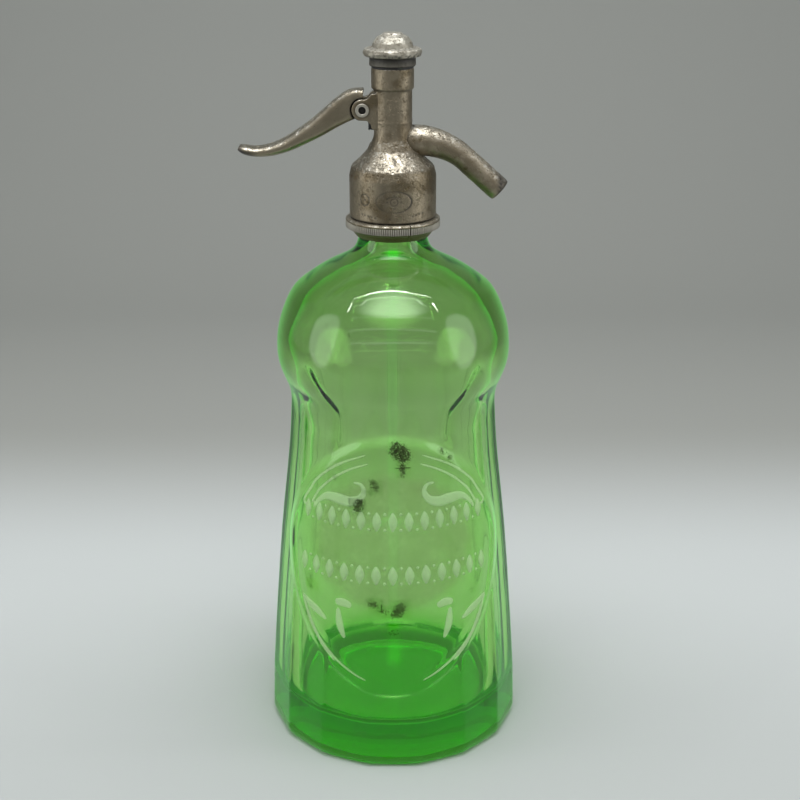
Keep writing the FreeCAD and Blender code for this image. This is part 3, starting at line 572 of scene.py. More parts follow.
lightLook = {
    "world": (0.88, 0.90, 0.90), "worldStrength": 0.42,
    "topEnergy": 24.0, "topSize": 1.1, "topHeight": 1.15, "topDepth": -0.25,
    "panelEnergy": 2.3, "panelHeight": 0.32, "panelReach": 0.62, "panelDepth": -0.2,
    "lampEnergy": 0.03, "lampSize": 0.011, "lampHeight": 0.90,
    "rowCount": 25, "rowReach": 0.31, "rowDepth": 0.09,
    "sideCount": 13, "sideReach": 0.52, "sideDepth": -0.21,
    # long thin tubes: depth, height, half length, thickness, energy
    "tubes": [(0.015, 0.90, 0.33, 0.010, 0.12), (-0.62, 1.10, 0.80, 0.05, 0.42),
              (-0.62, 0.585, 0.65, 0.03, 0.16), (-0.62, 0.425, 0.56, 0.02, 0.10)],
}


def areaLight(name, place, target, size, energy, tall=None, soft=None):
    # soft is how far from the middle it starts to fade, so that no hard edge is mirrored
    data = bpy.data.lights.new(name, "AREA")
    data.energy = energy
    data.shape = "RECTANGLE"
    data.size = size
    data.size_y = tall or size
    if soft:
        data.use_nodes = True
        tree = data.node_tree
        offset = addNode(tree, "ShaderNodeVectorMath", operation="DISTANCE")
        fill(offset, {0: addNode(tree, "ShaderNodeNewGeometry").outputs["Parametric"]})
        offset.inputs[1].default_value = (0.5, 0.5, 0.0)
        fill(tree.nodes["Emission"], {"Strength": rampNode(offset.outputs["Value"], 0.5, soft)})
    obj = bpy.data.objects.new(name, data)
    obj.location = place
    direction = Vector(target) - Vector(place)
    obj.rotation_euler = direction.to_track_quat("-Z", "Y").to_euler()
    obj.visible_camera = False
    bpy.context.scene.collection.objects.link(obj)


def makeLights(look):
    world = bpy.data.worlds.new("studioAir")
    world.use_nodes = True
    fill(world.node_tree.nodes["Background"], {"Color": look["world"],
                                               "Strength": look["worldStrength"]})
    bpy.context.scene.world = world
    areaLight("topSoftbox", (0, look["topDepth"], look["topHeight"]), (0, 0, 0.1),
              look["topSize"], look["topEnergy"], soft=0.12)
    for side in (-1, 1):
        areaLight("sidePanel", (side * look["panelReach"], look["panelDepth"],
                                look["panelHeight"]), (0, 0, 0.2), 0.42,
                  look["panelEnergy"], tall=0.75, soft=0.36)
    for depth, height, half, thickness, energy in look["tubes"]:
        areaLight("lampTube", (0, depth, height), (0, 0, 0.15), 2 * half, energy,
                  tall=thickness)
    # small lamps in a row across the top of the light box and down both its sides
    spots = []
    for index in range(look["rowCount"]):
        share = 2 * index / (look["rowCount"] - 1) - 1
        spots.append((share * look["rowReach"], look["rowDepth"]))
    for index in range(1, look["sideCount"] + 1):
        share = index / look["sideCount"]
        across = look["rowReach"] + share * (look["sideReach"] - look["rowReach"])
        depth = look["rowDepth"] + share * (look["sideDepth"] - look["rowDepth"])
        spots += [(across, depth), (-across, depth)]
    for across, depth in spots:
        areaLight("lamp", (across, depth, look["lampHeight"]), (across, depth, 0),
                  look["lampSize"], look["lampEnergy"])


makeLights(lightLook)
print("stage and lights ready")


# glass bottle, sizes in millimetres

bottle = {
    "facets": 16, "columns": 288, "bodyRows": 158, "floorCorner": 9.0,
    "foot": 52.6, "base": 57.0, "heel": 5.0, "puntRadius": 40.0, "puntDepth": 1.6,
    "flare": [(5.0, 57.0), (32.0, 55.9), (94.0, 50.9), (138.0, 46.0), (160.0, 44.6)],
    "bulb": [(44.6, 160.0), (49.2, 171.5), (50.1, 180.5), (48.5, 191.0), (43.6, 202.5),
             (37.0, 208.6), (29.2, 213.6), (21.5, 217.6), (16.8, 221.0), (14.8, 225.0),
             (14.4, 229.0)],
    "lip": [(12.8, 231.0), (12.8, 241.2), (14.9, 241.2), (14.9, 246.6), (8.6, 246.6),
            (8.6, 242.0), (6.2, 238.5)],
    # the cavity, from the mouth down to the floor
    "cavity": [(6.2, 238.5), (6.2, 229.0), (7.0, 223.0), (12.0, 216.5), (22.0, 210.5),
               (31.5, 204.5), (38.5, 197.5), (43.0, 188.0), (44.4, 180.0), (43.2, 170.0),
               (39.6, 160.0), (39.2, 150.0), (39.9, 138.0), (44.2, 94.0), (48.6, 40.0),
               (49.2, 25.0)],
    "waveDepth": 0.35, "waveAcross": 0.035, "waveUp": 0.05,
    "panelCentre": 93.5, "panelWidth": 45.8, "panelHeight": 59.5, "panelRise": 0.9,
    "panelReach": 52.0, "panelBevel": 3.2, "joint": 160.5, "jointBlend": 8.0,
    "soften": 5.0, "softenReach": 14.0, "bodyTop": 203.0,
    "groove": 0.9, "grooveAt": 0.905, "grooveWidth": 0.055,
    # thicker runs of glass inside the waist: (degrees from the front, height)
    "runs": [[(-48.4, 175.2), (-43.4, 169.9), (-38.9, 165.0), (-35.0, 159.8), (-34.8, 152.8),
              (-35.9, 146.0)],
             [(48.9, 175.1), (46.3, 172.5), (37.3, 160.3), (36.5, 156.0), (36.0, 149.0)]],
    "runHeight": 0.8, "runWidth": 3.0, "runZone": (138, 184), "runTurn": 1.1,
    "runDegree": 0.78,      # millimetres to a degree
}


def throughPoints(points, position):
    # a smooth line through (place, value) pairs
    if position <= points[0][0]:
        return points[0][1]
    for index in range(len(points) - 1):
        low, high = points[index], points[index + 1]
        if position <= high[0]:
            before = points[max(index - 1, 0)]
            after = points[min(index + 2, len(points) - 1)]
            span = high[0] - low[0]
            share = (position - low[0]) / span
            startSlope = (high[1] - before[1]) / max(high[0] - before[0], 1e-6) * span
            endSlope = (after[1] - low[1]) / max(after[0] - low[0], 1e-6) * span
            return ((2 * share ** 3 - 3 * share ** 2 + 1) * low[1]
                    + (share ** 3 - 2 * share ** 2 + share) * startSlope
                    + (-2 * share ** 3 + 3 * share ** 2) * high[1]
                    + (share ** 3 - share ** 2) * endSlope)
    return points[-1][1]


def curveThrough(points, steps):
    # a Catmull-Rom line through points, steps to each stretch
    result = []
    for index in range(len(points) - 1):
        before = Vector(points[max(index - 1, 0)])
        low = Vector(points[index])
        high = Vector(points[index + 1])
        after = Vector(points[min(index + 2, len(points) - 1)])
        for step in range(steps):
            share = step / steps
            result.append(tuple(0.5 * (2 * low + (high - before) * share
                                       + (2 * before - 5 * low + 4 * high - after) * share ** 2
                                       + (3 * low - before - 3 * high + after) * share ** 3)))
    result.append(tuple(points[-1]))
    return result


def softStep(value):
    value = max(0.0, min(1.0, value))
    return value * value * (3 - 2 * value)


def facetRadius(angle, height, size=bottle):
    # the sixteen-sided flared body, ridges either side of the front
    half = math.pi / size["facets"]
    local = (angle + half) % (2 * half) - half
    return throughPoints(size["flare"], height) * math.cos(half) / math.cos(local)


def bodyRadius(angle, height, size=bottle):
    # angle 0 is the front, positive towards the spout
    radius = facetRadius(angle, height, size)
    if height > size["joint"] - size["jointBlend"]:
        round_ = throughPoints(size["flare"], height)
        share = softStep((height - size["joint"] + size["jointBlend"]) / size["jointBlend"])
        radius += share * (round_ - radius)
    if math.cos(angle) > 0:
        across = radius * math.sin(angle) / size["panelWidth"]
        up = (height - size["panelCentre"]) / size["panelHeight"]
        inside = 1 - math.hypot(across, up)
        if inside > 0:
            plate = throughPoints(size["flare"], height) + size["panelRise"]
            share = softStep(inside * size["panelReach"] / size["panelBevel"])
            radius = max(radius, radius + share * (plate - radius))
            # a shallow groove inside the rim, low on both sides
            side = softStep((0.35 - up) / 0.5) * softStep(abs(across) / 0.4)
            radius -= size["groove"] * side * near(1 - inside, size["grooveAt"],
                                                   size["grooveWidth"])
    return radius


bulbLine = [(height, radius) for radius, height in curveThrough(bottle["bulb"], 6)]


def bulbRadius(height):
    for low, high in zip(bulbLine, bulbLine[1:]):
        if height <= high[0]:
            return low[1] + (high[1] - low[1]) * (height - low[0]) / (high[0] - low[0])
    return bulbLine[-1][1]


def outerRadius(angle, height, size=bottle):
    # the waist is averaged over a few millimetres, so that no crease shows in it
    window = size["soften"] * softStep(1 - abs(height - size["joint"]) / size["softenReach"])
    total = weights = 0.0
    for step in range(-3, 4):
        level = height + window * step / 3
        weight = 4 - abs(step)
        total += weight * (bodyRadius(angle, level, size) if level <= size["joint"]
                           else bulbRadius(level))
        weights += weight
        if window < 0.05:
            break
    return total / weights


def runThickness(angle, height, size=bottle):
    # how far the inner wall comes in where a run of thicker glass passes
    wide = size["runDegree"]
    closest = math.inf
    spot = Vector((math.degrees(angle) * wide, height))
    for line in size["runs"]:
        for first, second in zip(line, line[1:]):
            low = Vector((first[0] * wide, first[1]))
            along = Vector((second[0] * wide, second[1])) - low
            share = max(0.0, min(1.0, (spot - low).dot(along) / along.length_squared))
            closest = min(closest, (spot - low - share * along).length)
    return size["runHeight"] * near(closest, 0.0, size["runWidth"])


def bottleRows(size):
    # (radius, height, kind) up the outside, over the lip and down the cavity to the floor
    foot, base, heel, punt = size["foot"], size["base"], size["heel"], size["puntRadius"]
    rows = [(radius, size["puntDepth"], "round")
            for radius in (0.001, 0.3 * punt, 0.6 * punt, 0.85 * punt)]
    rows += [(punt + 1.5, 0.35, "round"), (punt + 3.0, 0.0, "round"),
             (0.5 * (punt + 3 + foot), 0.0, "round"), (foot - 1.0, 0.0, "round")]
    for step in range(9):
        turn = math.radians(90 * step / 9)
        rows.append((foot + (base - foot) * math.sin(turn), heel * (1 - math.cos(turn)), "heel"))
    count = size["bodyRows"]
    rows += [(0, heel + (size["bodyTop"] - heel) * step / count, "body")
             for step in range(count + 1)]
    rows += [(radius, height, "round") for height, radius in bulbLine
             if height > size["bodyTop"] + 0.8]
    neck = rounded([size["bulb"][-1]] + size["lip"], 0.9, 3, closed=False)
    rows += [(radius, height, "round") for radius, height in neck[1:]]
    rows += [(radius, height, "wavy") for radius, height in curveThrough(size["cavity"], 5)[1:]]
    corner = size["floorCorner"]
    inner, low = size["cavity"][-1]
    for step in range(1, 8):
        turn = math.radians(90 * step / 7)
        rows.append((inner - corner * (1 - math.cos(turn)), low - corner * math.sin(turn), "wavy"))
    rows += [(share * (inner - corner), low - corner, "wavy") for share in (0.8, 0.6, 0.4, 0.2)]
    rows.append((0.001, low - corner, "round"))
    return rows


def makeBottle(size):
    rows = bottleRows(size)
    points = []
    for radius, height, kind in rows:
        for angle in turnsOf(size["columns"]):
            here = radius
            if kind == "body":
                here = outerRadius(angle, height, size)
            elif kind == "heel":
                out = facetRadius(angle, size["heel"], size) / size["base"]
                blend = (radius - size["foot"]) / (size["base"] - size["foot"])
                here = radius * (1 + blend * (out - 1))
            elif kind == "wavy":
                spot = Vector((size["waveAcross"] * radius * math.sin(angle),
                               -size["waveAcross"] * radius * math.cos(angle),
                               size["waveUp"] * height))
                here = radius + size["waveDepth"] * noise.noise(spot) * min(1.0, radius / 10)
                turned = angle if angle < math.pi else angle - 2 * math.pi
                low, high = size["runZone"]
                if low < height < high and abs(turned) < size["runTurn"]:
                    here -= runThickness(turned, height, size)
            points.append((here * math.sin(angle), -here * math.cos(angle), height))
    mesh = meshFrom("glassBottle", points, ringFaces(len(rows), size["columns"]))
    outward(mesh, 2e-6)
    obj = dressed("glassBottle", mesh, greenGlass)
    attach(obj, "siphon")
    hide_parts("glass_bottle")
    print("bottle made,", len(mesh.polygons), "faces")


makeBottle(bottle)


# frosted ornament and dried residue on the round panel

ornament = {
    # strokes of the left half: (degrees from the front, height, width), mirrored to the right
    "strokes": [
        [(-47.5, 117.0, 1.2), (-50.6, 118.6, 1.3), (-46.1, 125.0, 1.2), (-41.0, 131.1, 1.1),
         (-28.8, 139.2, 1.0), (-14.0, 144.8, 0.5)],
        [(-44.6, 119.2, 1.2), (-41.0, 124.6, 1.1), (-37.7, 128.0, 1.1), (-31.1, 133.1, 1.0),
         (-22.3, 137.8, 0.9), (-12.8, 141.1, 0.5)],
        [(-43.0, 117.4, 1.4), (-40.2, 121.0, 2.0), (-35.0, 124.2, 3.2), (-28.5, 124.2, 4.6),
         (-22.0, 123.8, 4.4), (-17.0, 125.4, 3.4), (-14.6, 128.8, 2.4), (-16.2, 131.8, 1.4),
         (-20.0, 132.2, 0.8)],
        [(-48.0, 75.9, 1.4), (-43.8, 67.8, 1.9), (-37.5, 59.4, 1.6), (-28.2, 51.6, 1.3),
         (-18.9, 46.0, 1.0), (-12.3, 43.2, 0.6)],
        [(-46.0, 73.0, 0.8), (-42.6, 66.0, 1.0), (-36.0, 57.0, 0.9), (-27.5, 49.6, 0.8)],
        [(-47.1, 75.3, 1.6), (-42.0, 73.2, 3.6), (-37.0, 71.4, 3.4), (-32.1, 68.6, 1.0)],
        [(-27.5, 78.0, 2.6), (-23.5, 78.4, 3.8), (-19.5, 77.4, 2.4)],
        [(-26.0, 75.5, 1.6), (-25.0, 68.0, 3.4), (-22.5, 62.0, 1.4)],
    ],
    "rows": [116.2, 92.4], "rowEdge": 47.0, "rowCount": 13, "lozenge": (2.1, 4.3), "dot": 0.7,
    "rise": 0.08, "film": 0.04,
}
degreeWide = 53.0 * math.pi / 180      # millimetres to a degree round the panel

residue = {
    # spots: degrees from the front, height, width, strength
    "spots": [
        (3.3, 146.4, 4.2, 1.0), (0.7, 148.2, 3.0, 0.9), (6.9, 145.0, 3.0, 0.9),
        (4.8, 139.4, 2.2, 0.9), (5.3, 136.3, 2.0, 0.7), (26.1, 145.0, 2.6, 0.95),
        (31.4, 141.5, 2.6, 0.95), (-30.8, 133.2, 2.4, 0.8), (-37.9, 132.8, 2.0, 0.5),
        (-10.2, 133.1, 2.8, 0.85), (-8.0, 130.6, 2.0, 0.7), (-16.2, 123.9, 3.2, 1.0),
        (-17.7, 121.1, 2.4, 0.8), (-25.0, 125.9, 1.6, 0.6), (-33.1, 113.3, 1.8, 0.55),
        (-36.4, 99.0, 2.4, 0.6), (-42.8, 85.7, 3.0, 0.7), (-41.1, 80.6, 2.2, 0.6),
        (31.8, 101.0, 1.4, 0.7), (37.8, 100.1, 1.4, 0.5), (-10.8, 79.8, 3.0, 0.8),
        (-7.9, 79.1, 1.8, 0.6), (-4.6, 76.5, 1.6, 0.8), (1.4, 75.2, 3.6, 1.0),
        (3.8, 78.4, 2.6, 0.9), (2.3, 66.4, 2.4, 0.7), (-1.4, 66.9, 2.0, 0.6),
        (40.4, 80.3, 3.0, 0.65), (20.4, 50.5, 1.6, 0.8), (19.9, 46.8, 1.4, 0.6),
        (25.2, 77.7, 2.4, 0.4), (-59.6, 183.9, 1.4, 0.8), (-43.2, 185.4, 1.2, 0.7),
        (-21.7, 196.3, 1.2, 0.7), (-35.3, 198.6, 1.2, 0.7),
    ],
    "step": 0.9, "degree": 0.9, "above": 0.07, "spotFilm": 0.03,
    "haze": (-47.0, 47.0, 72.0, 140.0, 1.6), "below": 0.05, "hazeFilm": 0.02,
}


def onGlass(turn, height, lift):
    angle = math.radians(turn)
    radius = outerRadius(angle, height) + lift
    return (radius * math.sin(angle), -radius * math.cos(angle), height)


def filmSheet(points, faces, ring, size):
    # gives a patch drawn in (degrees, height) its thickness, and closes its edge
    count = len(points)
    made = [onGlass(turn, height, size["rise"] + size["film"]) for turn, height in points]
    made += [onGlass(turn, height, size["rise"]) for turn, height in points]
    shell = faces + [tuple(index + count for index in reversed(face)) for face in faces]
    shell += [(first, first + count, second + count, second)
              for first, second in zip(ring, ring[1:] + ring[:1])]
    return made, shell


def strokePatch(stroke, across=4):
    line = curveThrough([point[:2] for point in stroke], 6)
    widths = curveThrough([(point[2], 0.0) for point in stroke], 6)
    last = len(line) - 1
    points = []
    for index, (turn, height) in enumerate(line):
        before = Vector(line[max(index - 1, 0)])
        after = Vector(line[min(index + 1, last)])
        along = Vector(((after.x - before.x) * degreeWide, after.y - before.y)).normalized()
        half = max(widths[index][0], 0.15) / 2
        if index in (0, last):
            half *= 0.4
        for step in range(across + 1):
            offset = half * (2 * step / across - 1)
            points.append((turn - along.y * offset / degreeWide, height + along.x * offset))
    return points, *sheetFaces(last, across)


def lozengePatch(turn, height, half, tall, count=16):
    ring = [(turn + half * math.cos(a) * abs(math.cos(a)) ** 0.4 / degreeWide,
             height + tall * math.sin(a) * abs(math.sin(a)) ** 0.4) for a in turnsOf(count)]
    faces = [(k, (k + 1) % count, count) for k in range(count)]
    return ring + [(turn, height)], faces, list(range(count))


def gridPatch(left, right, low, high, step):
    columns = int((right - left) * residue["degree"] / step)
    rows = int((high - low) / step)
    points = [(left + (right - left) * c / columns, low + (high - low) * r / rows)
              for r in range(rows + 1) for c in range(columns + 1)]
    return points, *sheetFaces(rows, columns)


def addFilm(name, patches, size, material, rule):
    points = []
    faces = []
    for patch in patches:
        made, shell = filmSheet(*patch, size)
        faces += [tuple(index + len(points) for index in face) for face in shell]
        points += made
    mesh = meshFrom(name, points, faces)
    outward(mesh, 0.0)
    obj = dressed(name, mesh, material)
    layer = mesh.attributes.new("stain", "FLOAT", "POINT")
    for point, item in zip(mesh.vertices, layer.data):
        place = point.co / millimetre
        turn = math.degrees(math.atan2(place.x, -place.y))
        item.value = max(0.0, min(1.0, rule(turn, place.z)))
    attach(obj, "siphon")
    print(name, "made,", len(mesh.polygons), "faces")


def makeOrnament(size):
    patches = []
    for stroke in size["strokes"]:
        patches.append(strokePatch(stroke))
        patches.append(strokePatch([(-turn + 1.2, height, wide)
                                    for turn, height, wide in stroke]))
    half, tall = size["lozenge"]
    for level in size["rows"]:
        for index in range(size["rowCount"]):
            turn = size["rowEdge"] * (2 * index / (size["rowCount"] - 1) - 1)
            patches.append(lozengePatch(turn, level, half, tall))
            if index < size["rowCount"] - 1:
                turn += size["rowEdge"] / (size["rowCount"] - 1)
                for rise in (-0.8 * tall, 0.8 * tall):
                    patches.append(lozengePatch(turn, level + rise, size["dot"], size["dot"]))
    addFilm("frostedOrnament", patches, size, frostedFilm, lambda turn, height: 1.0)


def makeResidue(size, film):
    right, low, high = size["haze"][1:4]

    def spotted(turn, height):
        return sum(strength * near(math.hypot((turn - spot) * size["degree"], height - level),
                                   0, width)
                   for spot, level, width, strength in size["spots"])

    def hazy(turn, height):
        up = (height - 0.5 * (low + high)) / (0.5 * (high - low))
        return 1.0 - softStep((math.hypot(turn / right, up) - 0.75) / 0.3)

    patches = [gridPatch(spot - 1.9 * width, spot + 1.9 * width, level - 1.8 * width,
                         level + 1.8 * width, min(size["step"], 0.5 * width))
               for spot, level, width, strength in size["spots"]]
    over = {"rise": film["rise"] + size["above"], "film": size["spotFilm"]}
    addFilm("driedSpots", patches, over, driedResidue, spotted)
    under = {"rise": film["rise"] - size["below"], "film": size["hazeFilm"]}
    addFilm("paleResidue", [gridPatch(*size["haze"])], under, paleHaze, hazy)


makeOrnament(ornament)
makeResidue(residue, ornament)


# head casting

head = {
    "voxel": 0.36, "pivot": (-12.4, 279.7), "ear": 4.3, "earsWidth": 11.0, "earGap": 5.0,
    "castRing": 0.14, "stampDepth": 0.14, "shoulderPits": 0.28, "skirt": 18.1,
    "ringLevel": 274.6, "pitted": (252.5, 268.0),
    "rivetHole": 2.14, "spoutLevel": 266.7, "socket": 5.15, "port": 3.3,
    "earFoot": [(-6.4, 286.4), (-8.6, 286.2), (-9.9, 284.6)],
    "earEnd": [(-10.4, 275.4), (-9.0, 274.0), (-8.4, 271.9), (-6.4, 271.6)],
    # openings between the ears, (x, z)
    "chamber": [(-9, 276.0), (-2.6, 276.0), (-2.6, 285.4), (-9, 285.4)],
    "gapBox": [(-24, 266), (-7.55, 266), (-7.55, 287.4), (-24, 287.4)],
    # arcs on the skirt: centre across and up, radius, from and to degrees
    "scrolls": [(-12.4, 0.2, 2.3, 0, 360), (0.6, 0.0, 1.5, 0, 360), (0.6, -3.2, 5.4, 55, 125)],
    "dots": [(-12.4, 0.2), (0.6, 0.0), (-2.2, 0.0), (3.4, 0.0), (0.6, 2.7), (0.6, -2.7),
             (-14.0, -6.0), (-12.3, -6.2), (-10.6, -6.5), (-8.9, -6.7), (-7.2, -6.8), (8.4, -6.2),
             (10.1, -5.9), (11.8, -5.6), (13.5, -5.3), (-1.2, -7.0), (-16.2, 3.0), (-15.8, -2.2)],
    "outline": [
        (16.2, 235.3, 0.3), (18.1, 235.3, 0.5), (18.1, 252.6, 3.0), (17.2, 256.4, 2.5),
        (13.6, 259.6, 3.0), (10.4, 263.2, 4.0), (8.35, 268.0, 6.0), (8.0, 273.0, 0),
        (8.0, 287.7, 0.2), (8.75, 288.0, 0.3), (8.75, 296.3, 0.3), (6.65, 296.3, 0.1),
        (6.65, 288.2, 0.1), (5.2, 288.2, 0.1), (5.2, 271.8, 0.1), (1.82, 271.8, 0.1),
        (1.82, 270.3, 0.1), (4.7, 270.3, 0.1), (4.7, 260.0, 0.1), (5.7, 260.0, 0.1),
        (5.7, 256.0, 0.1), (6.6, 256.0, 0.1), (6.6, 249.4, 0.1), (16.2, 249.4, 0.2),
    ],
}


def stamped(spot):
    # worn punch marks on the front of the skirt: an oval, small scrolls and dots, no letters
    if spot.y > -4 or not 235.8 < spot.z < 252.5:
        return 0.0
    across = head["skirt"] * math.atan2(spot.x, -spot.y)
    up = spot.z - 244.6
    ring = math.hypot((across - 0.6) / 7.4, up / 4.4)
    mark = near(ring, 1.0, 0.055) * (0.45 + 0.55 * softStep((across + 2) / 6))
    for centre, level, radius, first, last in head["scrolls"]:
        reach = math.hypot(across - centre, up - level)
        turn = math.degrees(math.atan2(up - level, across - centre)) % 360
        if first <= turn <= last:
            mark = max(mark, 0.8 * near(reach, radius, 0.25))
    for centre, level in head["dots"]:
        mark = max(mark, 0.8 * near(math.hypot(across - centre, up - level), 0.0, 0.42))
    return min(mark, 1.0)


def headDarkening(p, size=head):
    # where the casting is darker: lines at joints, stamps, a streak, the bores and rings round the
    # sockets
    pivotX, pivotZ = size["pivot"]
    total = near(p.z, 235.4, 0.45) + 0.95 * stamped(p)           # foot of the skirt, stamps
    if p.y < 0:
        total += (0.35 * near(math.atan2(p.x, -p.y), -0.22, 0.10)      # a streak on the skirt
                  * softStep((p.z - 239) / 4) * softStep((253 - p.z) / 2))
    total += 0.3 * near(p.z, 287.6, 0.3)                         # under the upper sleeve
    total += 0.28 * near(p.x, -9.5, 1.2) * near(p.z, 276, 5)     # beside the slot
    total += 0.55 * near(math.hypot(p.x, p.y), 6.0, 1.8)         # inside the bores
    if p.x > 7.5:
        total += 0.9 * near(math.hypot(p.y, p.z - size["spoutLevel"]), 5.3, 0.55)
    if p.x < -8 and abs(p.y) > 4.8:
        total += 0.5 * near(math.hypot(p.x - pivotX, p.z - pivotZ), 3.1, 0.35)
    return total


def makeHead(size):
    obj = newObject("headBody", lathe("headBody", rounded(size["outline"], 0.3, 5), 128))
    pivotX, pivotZ = size["pivot"]
    ear = list(size["earFoot"])
    for step in range(21):
        turn = math.radians(78 + 196 * step / 20)
        ear.append((pivotX + size["ear"] * math.cos(turn), pivotZ + size["ear"] * math.sin(turn)))
    half = size["earsWidth"] / 2
    cutBy(obj, [bar("ears", ear + size["earEnd"], -half, half)], "UNION")
    gap = size["earGap"] / 2
    cutBy(obj, [
        bar("chamberSide", size["chamber"], -gap, gap),
        bar("earGap", size["gapBox"], -gap, gap),
        rodAlong("pinHole", (pivotX, 0, pivotZ), (0, 1, 0), size["rivetHole"], 30),
        rodAlong("spoutSocket", (14.3, 0, size["spoutLevel"]), (1, 0, 0), size["socket"], 16),
        rodAlong("spoutPort", (5.4, 0, size["spoutLevel"]), (1, 0, 0), size["port"], 6),
    ])
    remeshed(obj, size["voxel"], 5)
    low, high = size["pitted"]
    for vert in obj.data.vertices:
        spot = vert.co / millimetre
        out = Vector((spot.x, spot.y, 0.0))
        if out.length < 7.0:
            continue
        lift = size["castRing"] * near(spot.z, size["ringLevel"], 0.45)
        lift -= size["stampDepth"] * stamped(spot)
        if low < spot.z < high:
            lift -= size["shoulderPits"] * max(0.0, noise.noise(spot * 1.5) - 0.1)
        vert.co += out.normalized() * lift * millimetre
    markGrimeAndShade(obj, headDarkening)
    obj.data.materials.clear()
    obj.data.materials.append(wornTin)
    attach(obj, "siphon")
    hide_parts("head_body")
    print("head made,", len(obj.data.polygons), "faces")


makeHead(head)


# spout

spout = {
    "root": (6.3, 266.7), "lead": 3.2, "bend": 31.0, "drop": 42.0, "straight": 19.2,
    "rootRadius": 6.4, "radius": 5.1, "bore": 3.3, "sides": 72, "saddle": 7.4,
    "lip": [(0.25, 0.0), (0.9, -0.05), (1.5, 0.15)], "dent": 0.12, "chip": (39.6, -1.6, 255.6),
}


def spoutLine(size):
    # centre points and directions along the tube
    line = []
    x, z = size["root"]
    kneeX = x + size["lead"]
    for share in (0.0, 0.7, 0.85, 1.0):
        line.append((x + size["lead"] * share, z, 0.0))
    for step in range(1, 29):
        turn = math.radians(size["drop"] * step / 28)
        line.append((kneeX + size["bend"] * math.sin(turn),
                     z - size["bend"] * (1 - math.cos(turn)), turn))
    endX, endZ, turn = line[-1]
    for step in range(1, 17):
        reach = size["straight"] * step / 16
        line.append((endX + reach * math.cos(turn), endZ - reach * math.sin(turn), turn))
    return line


def makeSpout(size):
    line = spoutLine(size)
    radius, bore = size["radius"], size["bore"]
    stations = []
    for x, z, turn in line:
        thick = softStep(1 - turn / math.radians(size["drop"]))
        stations.append((x, z, turn, radius + (size["rootRadius"] - radius) * thick))
    # the worn lip turns in to the bore
    endX, endZ, turn = line[-1]
    stations.pop()
    for inset, back in size["lip"]:
        stations.append((endX - back * math.cos(turn), endZ + back * math.sin(turn), turn,
                         radius - inset))
    stations += [(x, z, turn, bore) for x, z, turn in reversed(line)]
    points = []
    for index, (x, z, turn, here) in enumerate(stations):
        for angle in turnsOf(size["sides"]):
            across = here * math.cos(angle)
            up = here * math.sin(angle)
            if index in (0, len(stations) - 1):
                x = math.sqrt(size["saddle"] ** 2 - across ** 2)
            spot = Vector((x, across, z + up)) * 0.16
            dent = size["dent"] * (noise.noise(spot) - 0.4) if here > bore + 0.1 else 0
            scale = 1 + dent / radius
            points.append((x + up * scale * math.sin(turn), across * scale,
                           z + up * scale * math.cos(turn)))
    mesh = meshFrom("spoutTube", points, ringFaces(len(stations), size["sides"], closed=True))
    outward(mesh)
    obj = dressed("spoutTube", mesh, spoutTin)
    chip = Vector(size["chip"])
    markGrimeAndShade(obj, lambda p: 0.95 * near(math.hypot(p.x, p.y), 8.5, 0.9)
              + (0.8 if p.x > endX - 0.3 else 0) + 0.7 * near(p.x - endX, -0.7, 0.7)
              + 0.9 * near((p - chip).length, 0.0, 1.5))
    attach(obj, "siphon")
    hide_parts("spout")
    print("spout made")


makeSpout(spout)


# lever

lever = {
    "pivot": (-12.4, 279.7), "voxel": 0.34, "play": 4.75, "tongueWidth": 4.4, "sides": 40,
    "hub": 3.8, "tongueHalf": 1.7, "rivetHole": 2.14,
    # along the blade: centre x, centre z, half height, half width
    "stations": [
        (-12.6, 281.4, 6.6, 4.9), (-16.0, 281.6, 5.95, 5.0), (-20.0, 279.6, 5.4, 5.0),
        (-25.0, 276.3, 4.7, 5.0), (-31.0, 272.1, 4.0, 5.1), (-37.5, 268.3, 3.45, 5.2),
        (-44.0, 264.9, 2.95, 5.25), (-50.5, 262.8, 2.5, 5.25), (-56.5, 262.2, 2.15, 5.0),
        (-61.0, 262.9, 1.95, 4.5), (-63.6, 263.9, 1.25, 3.3),
    ],
}


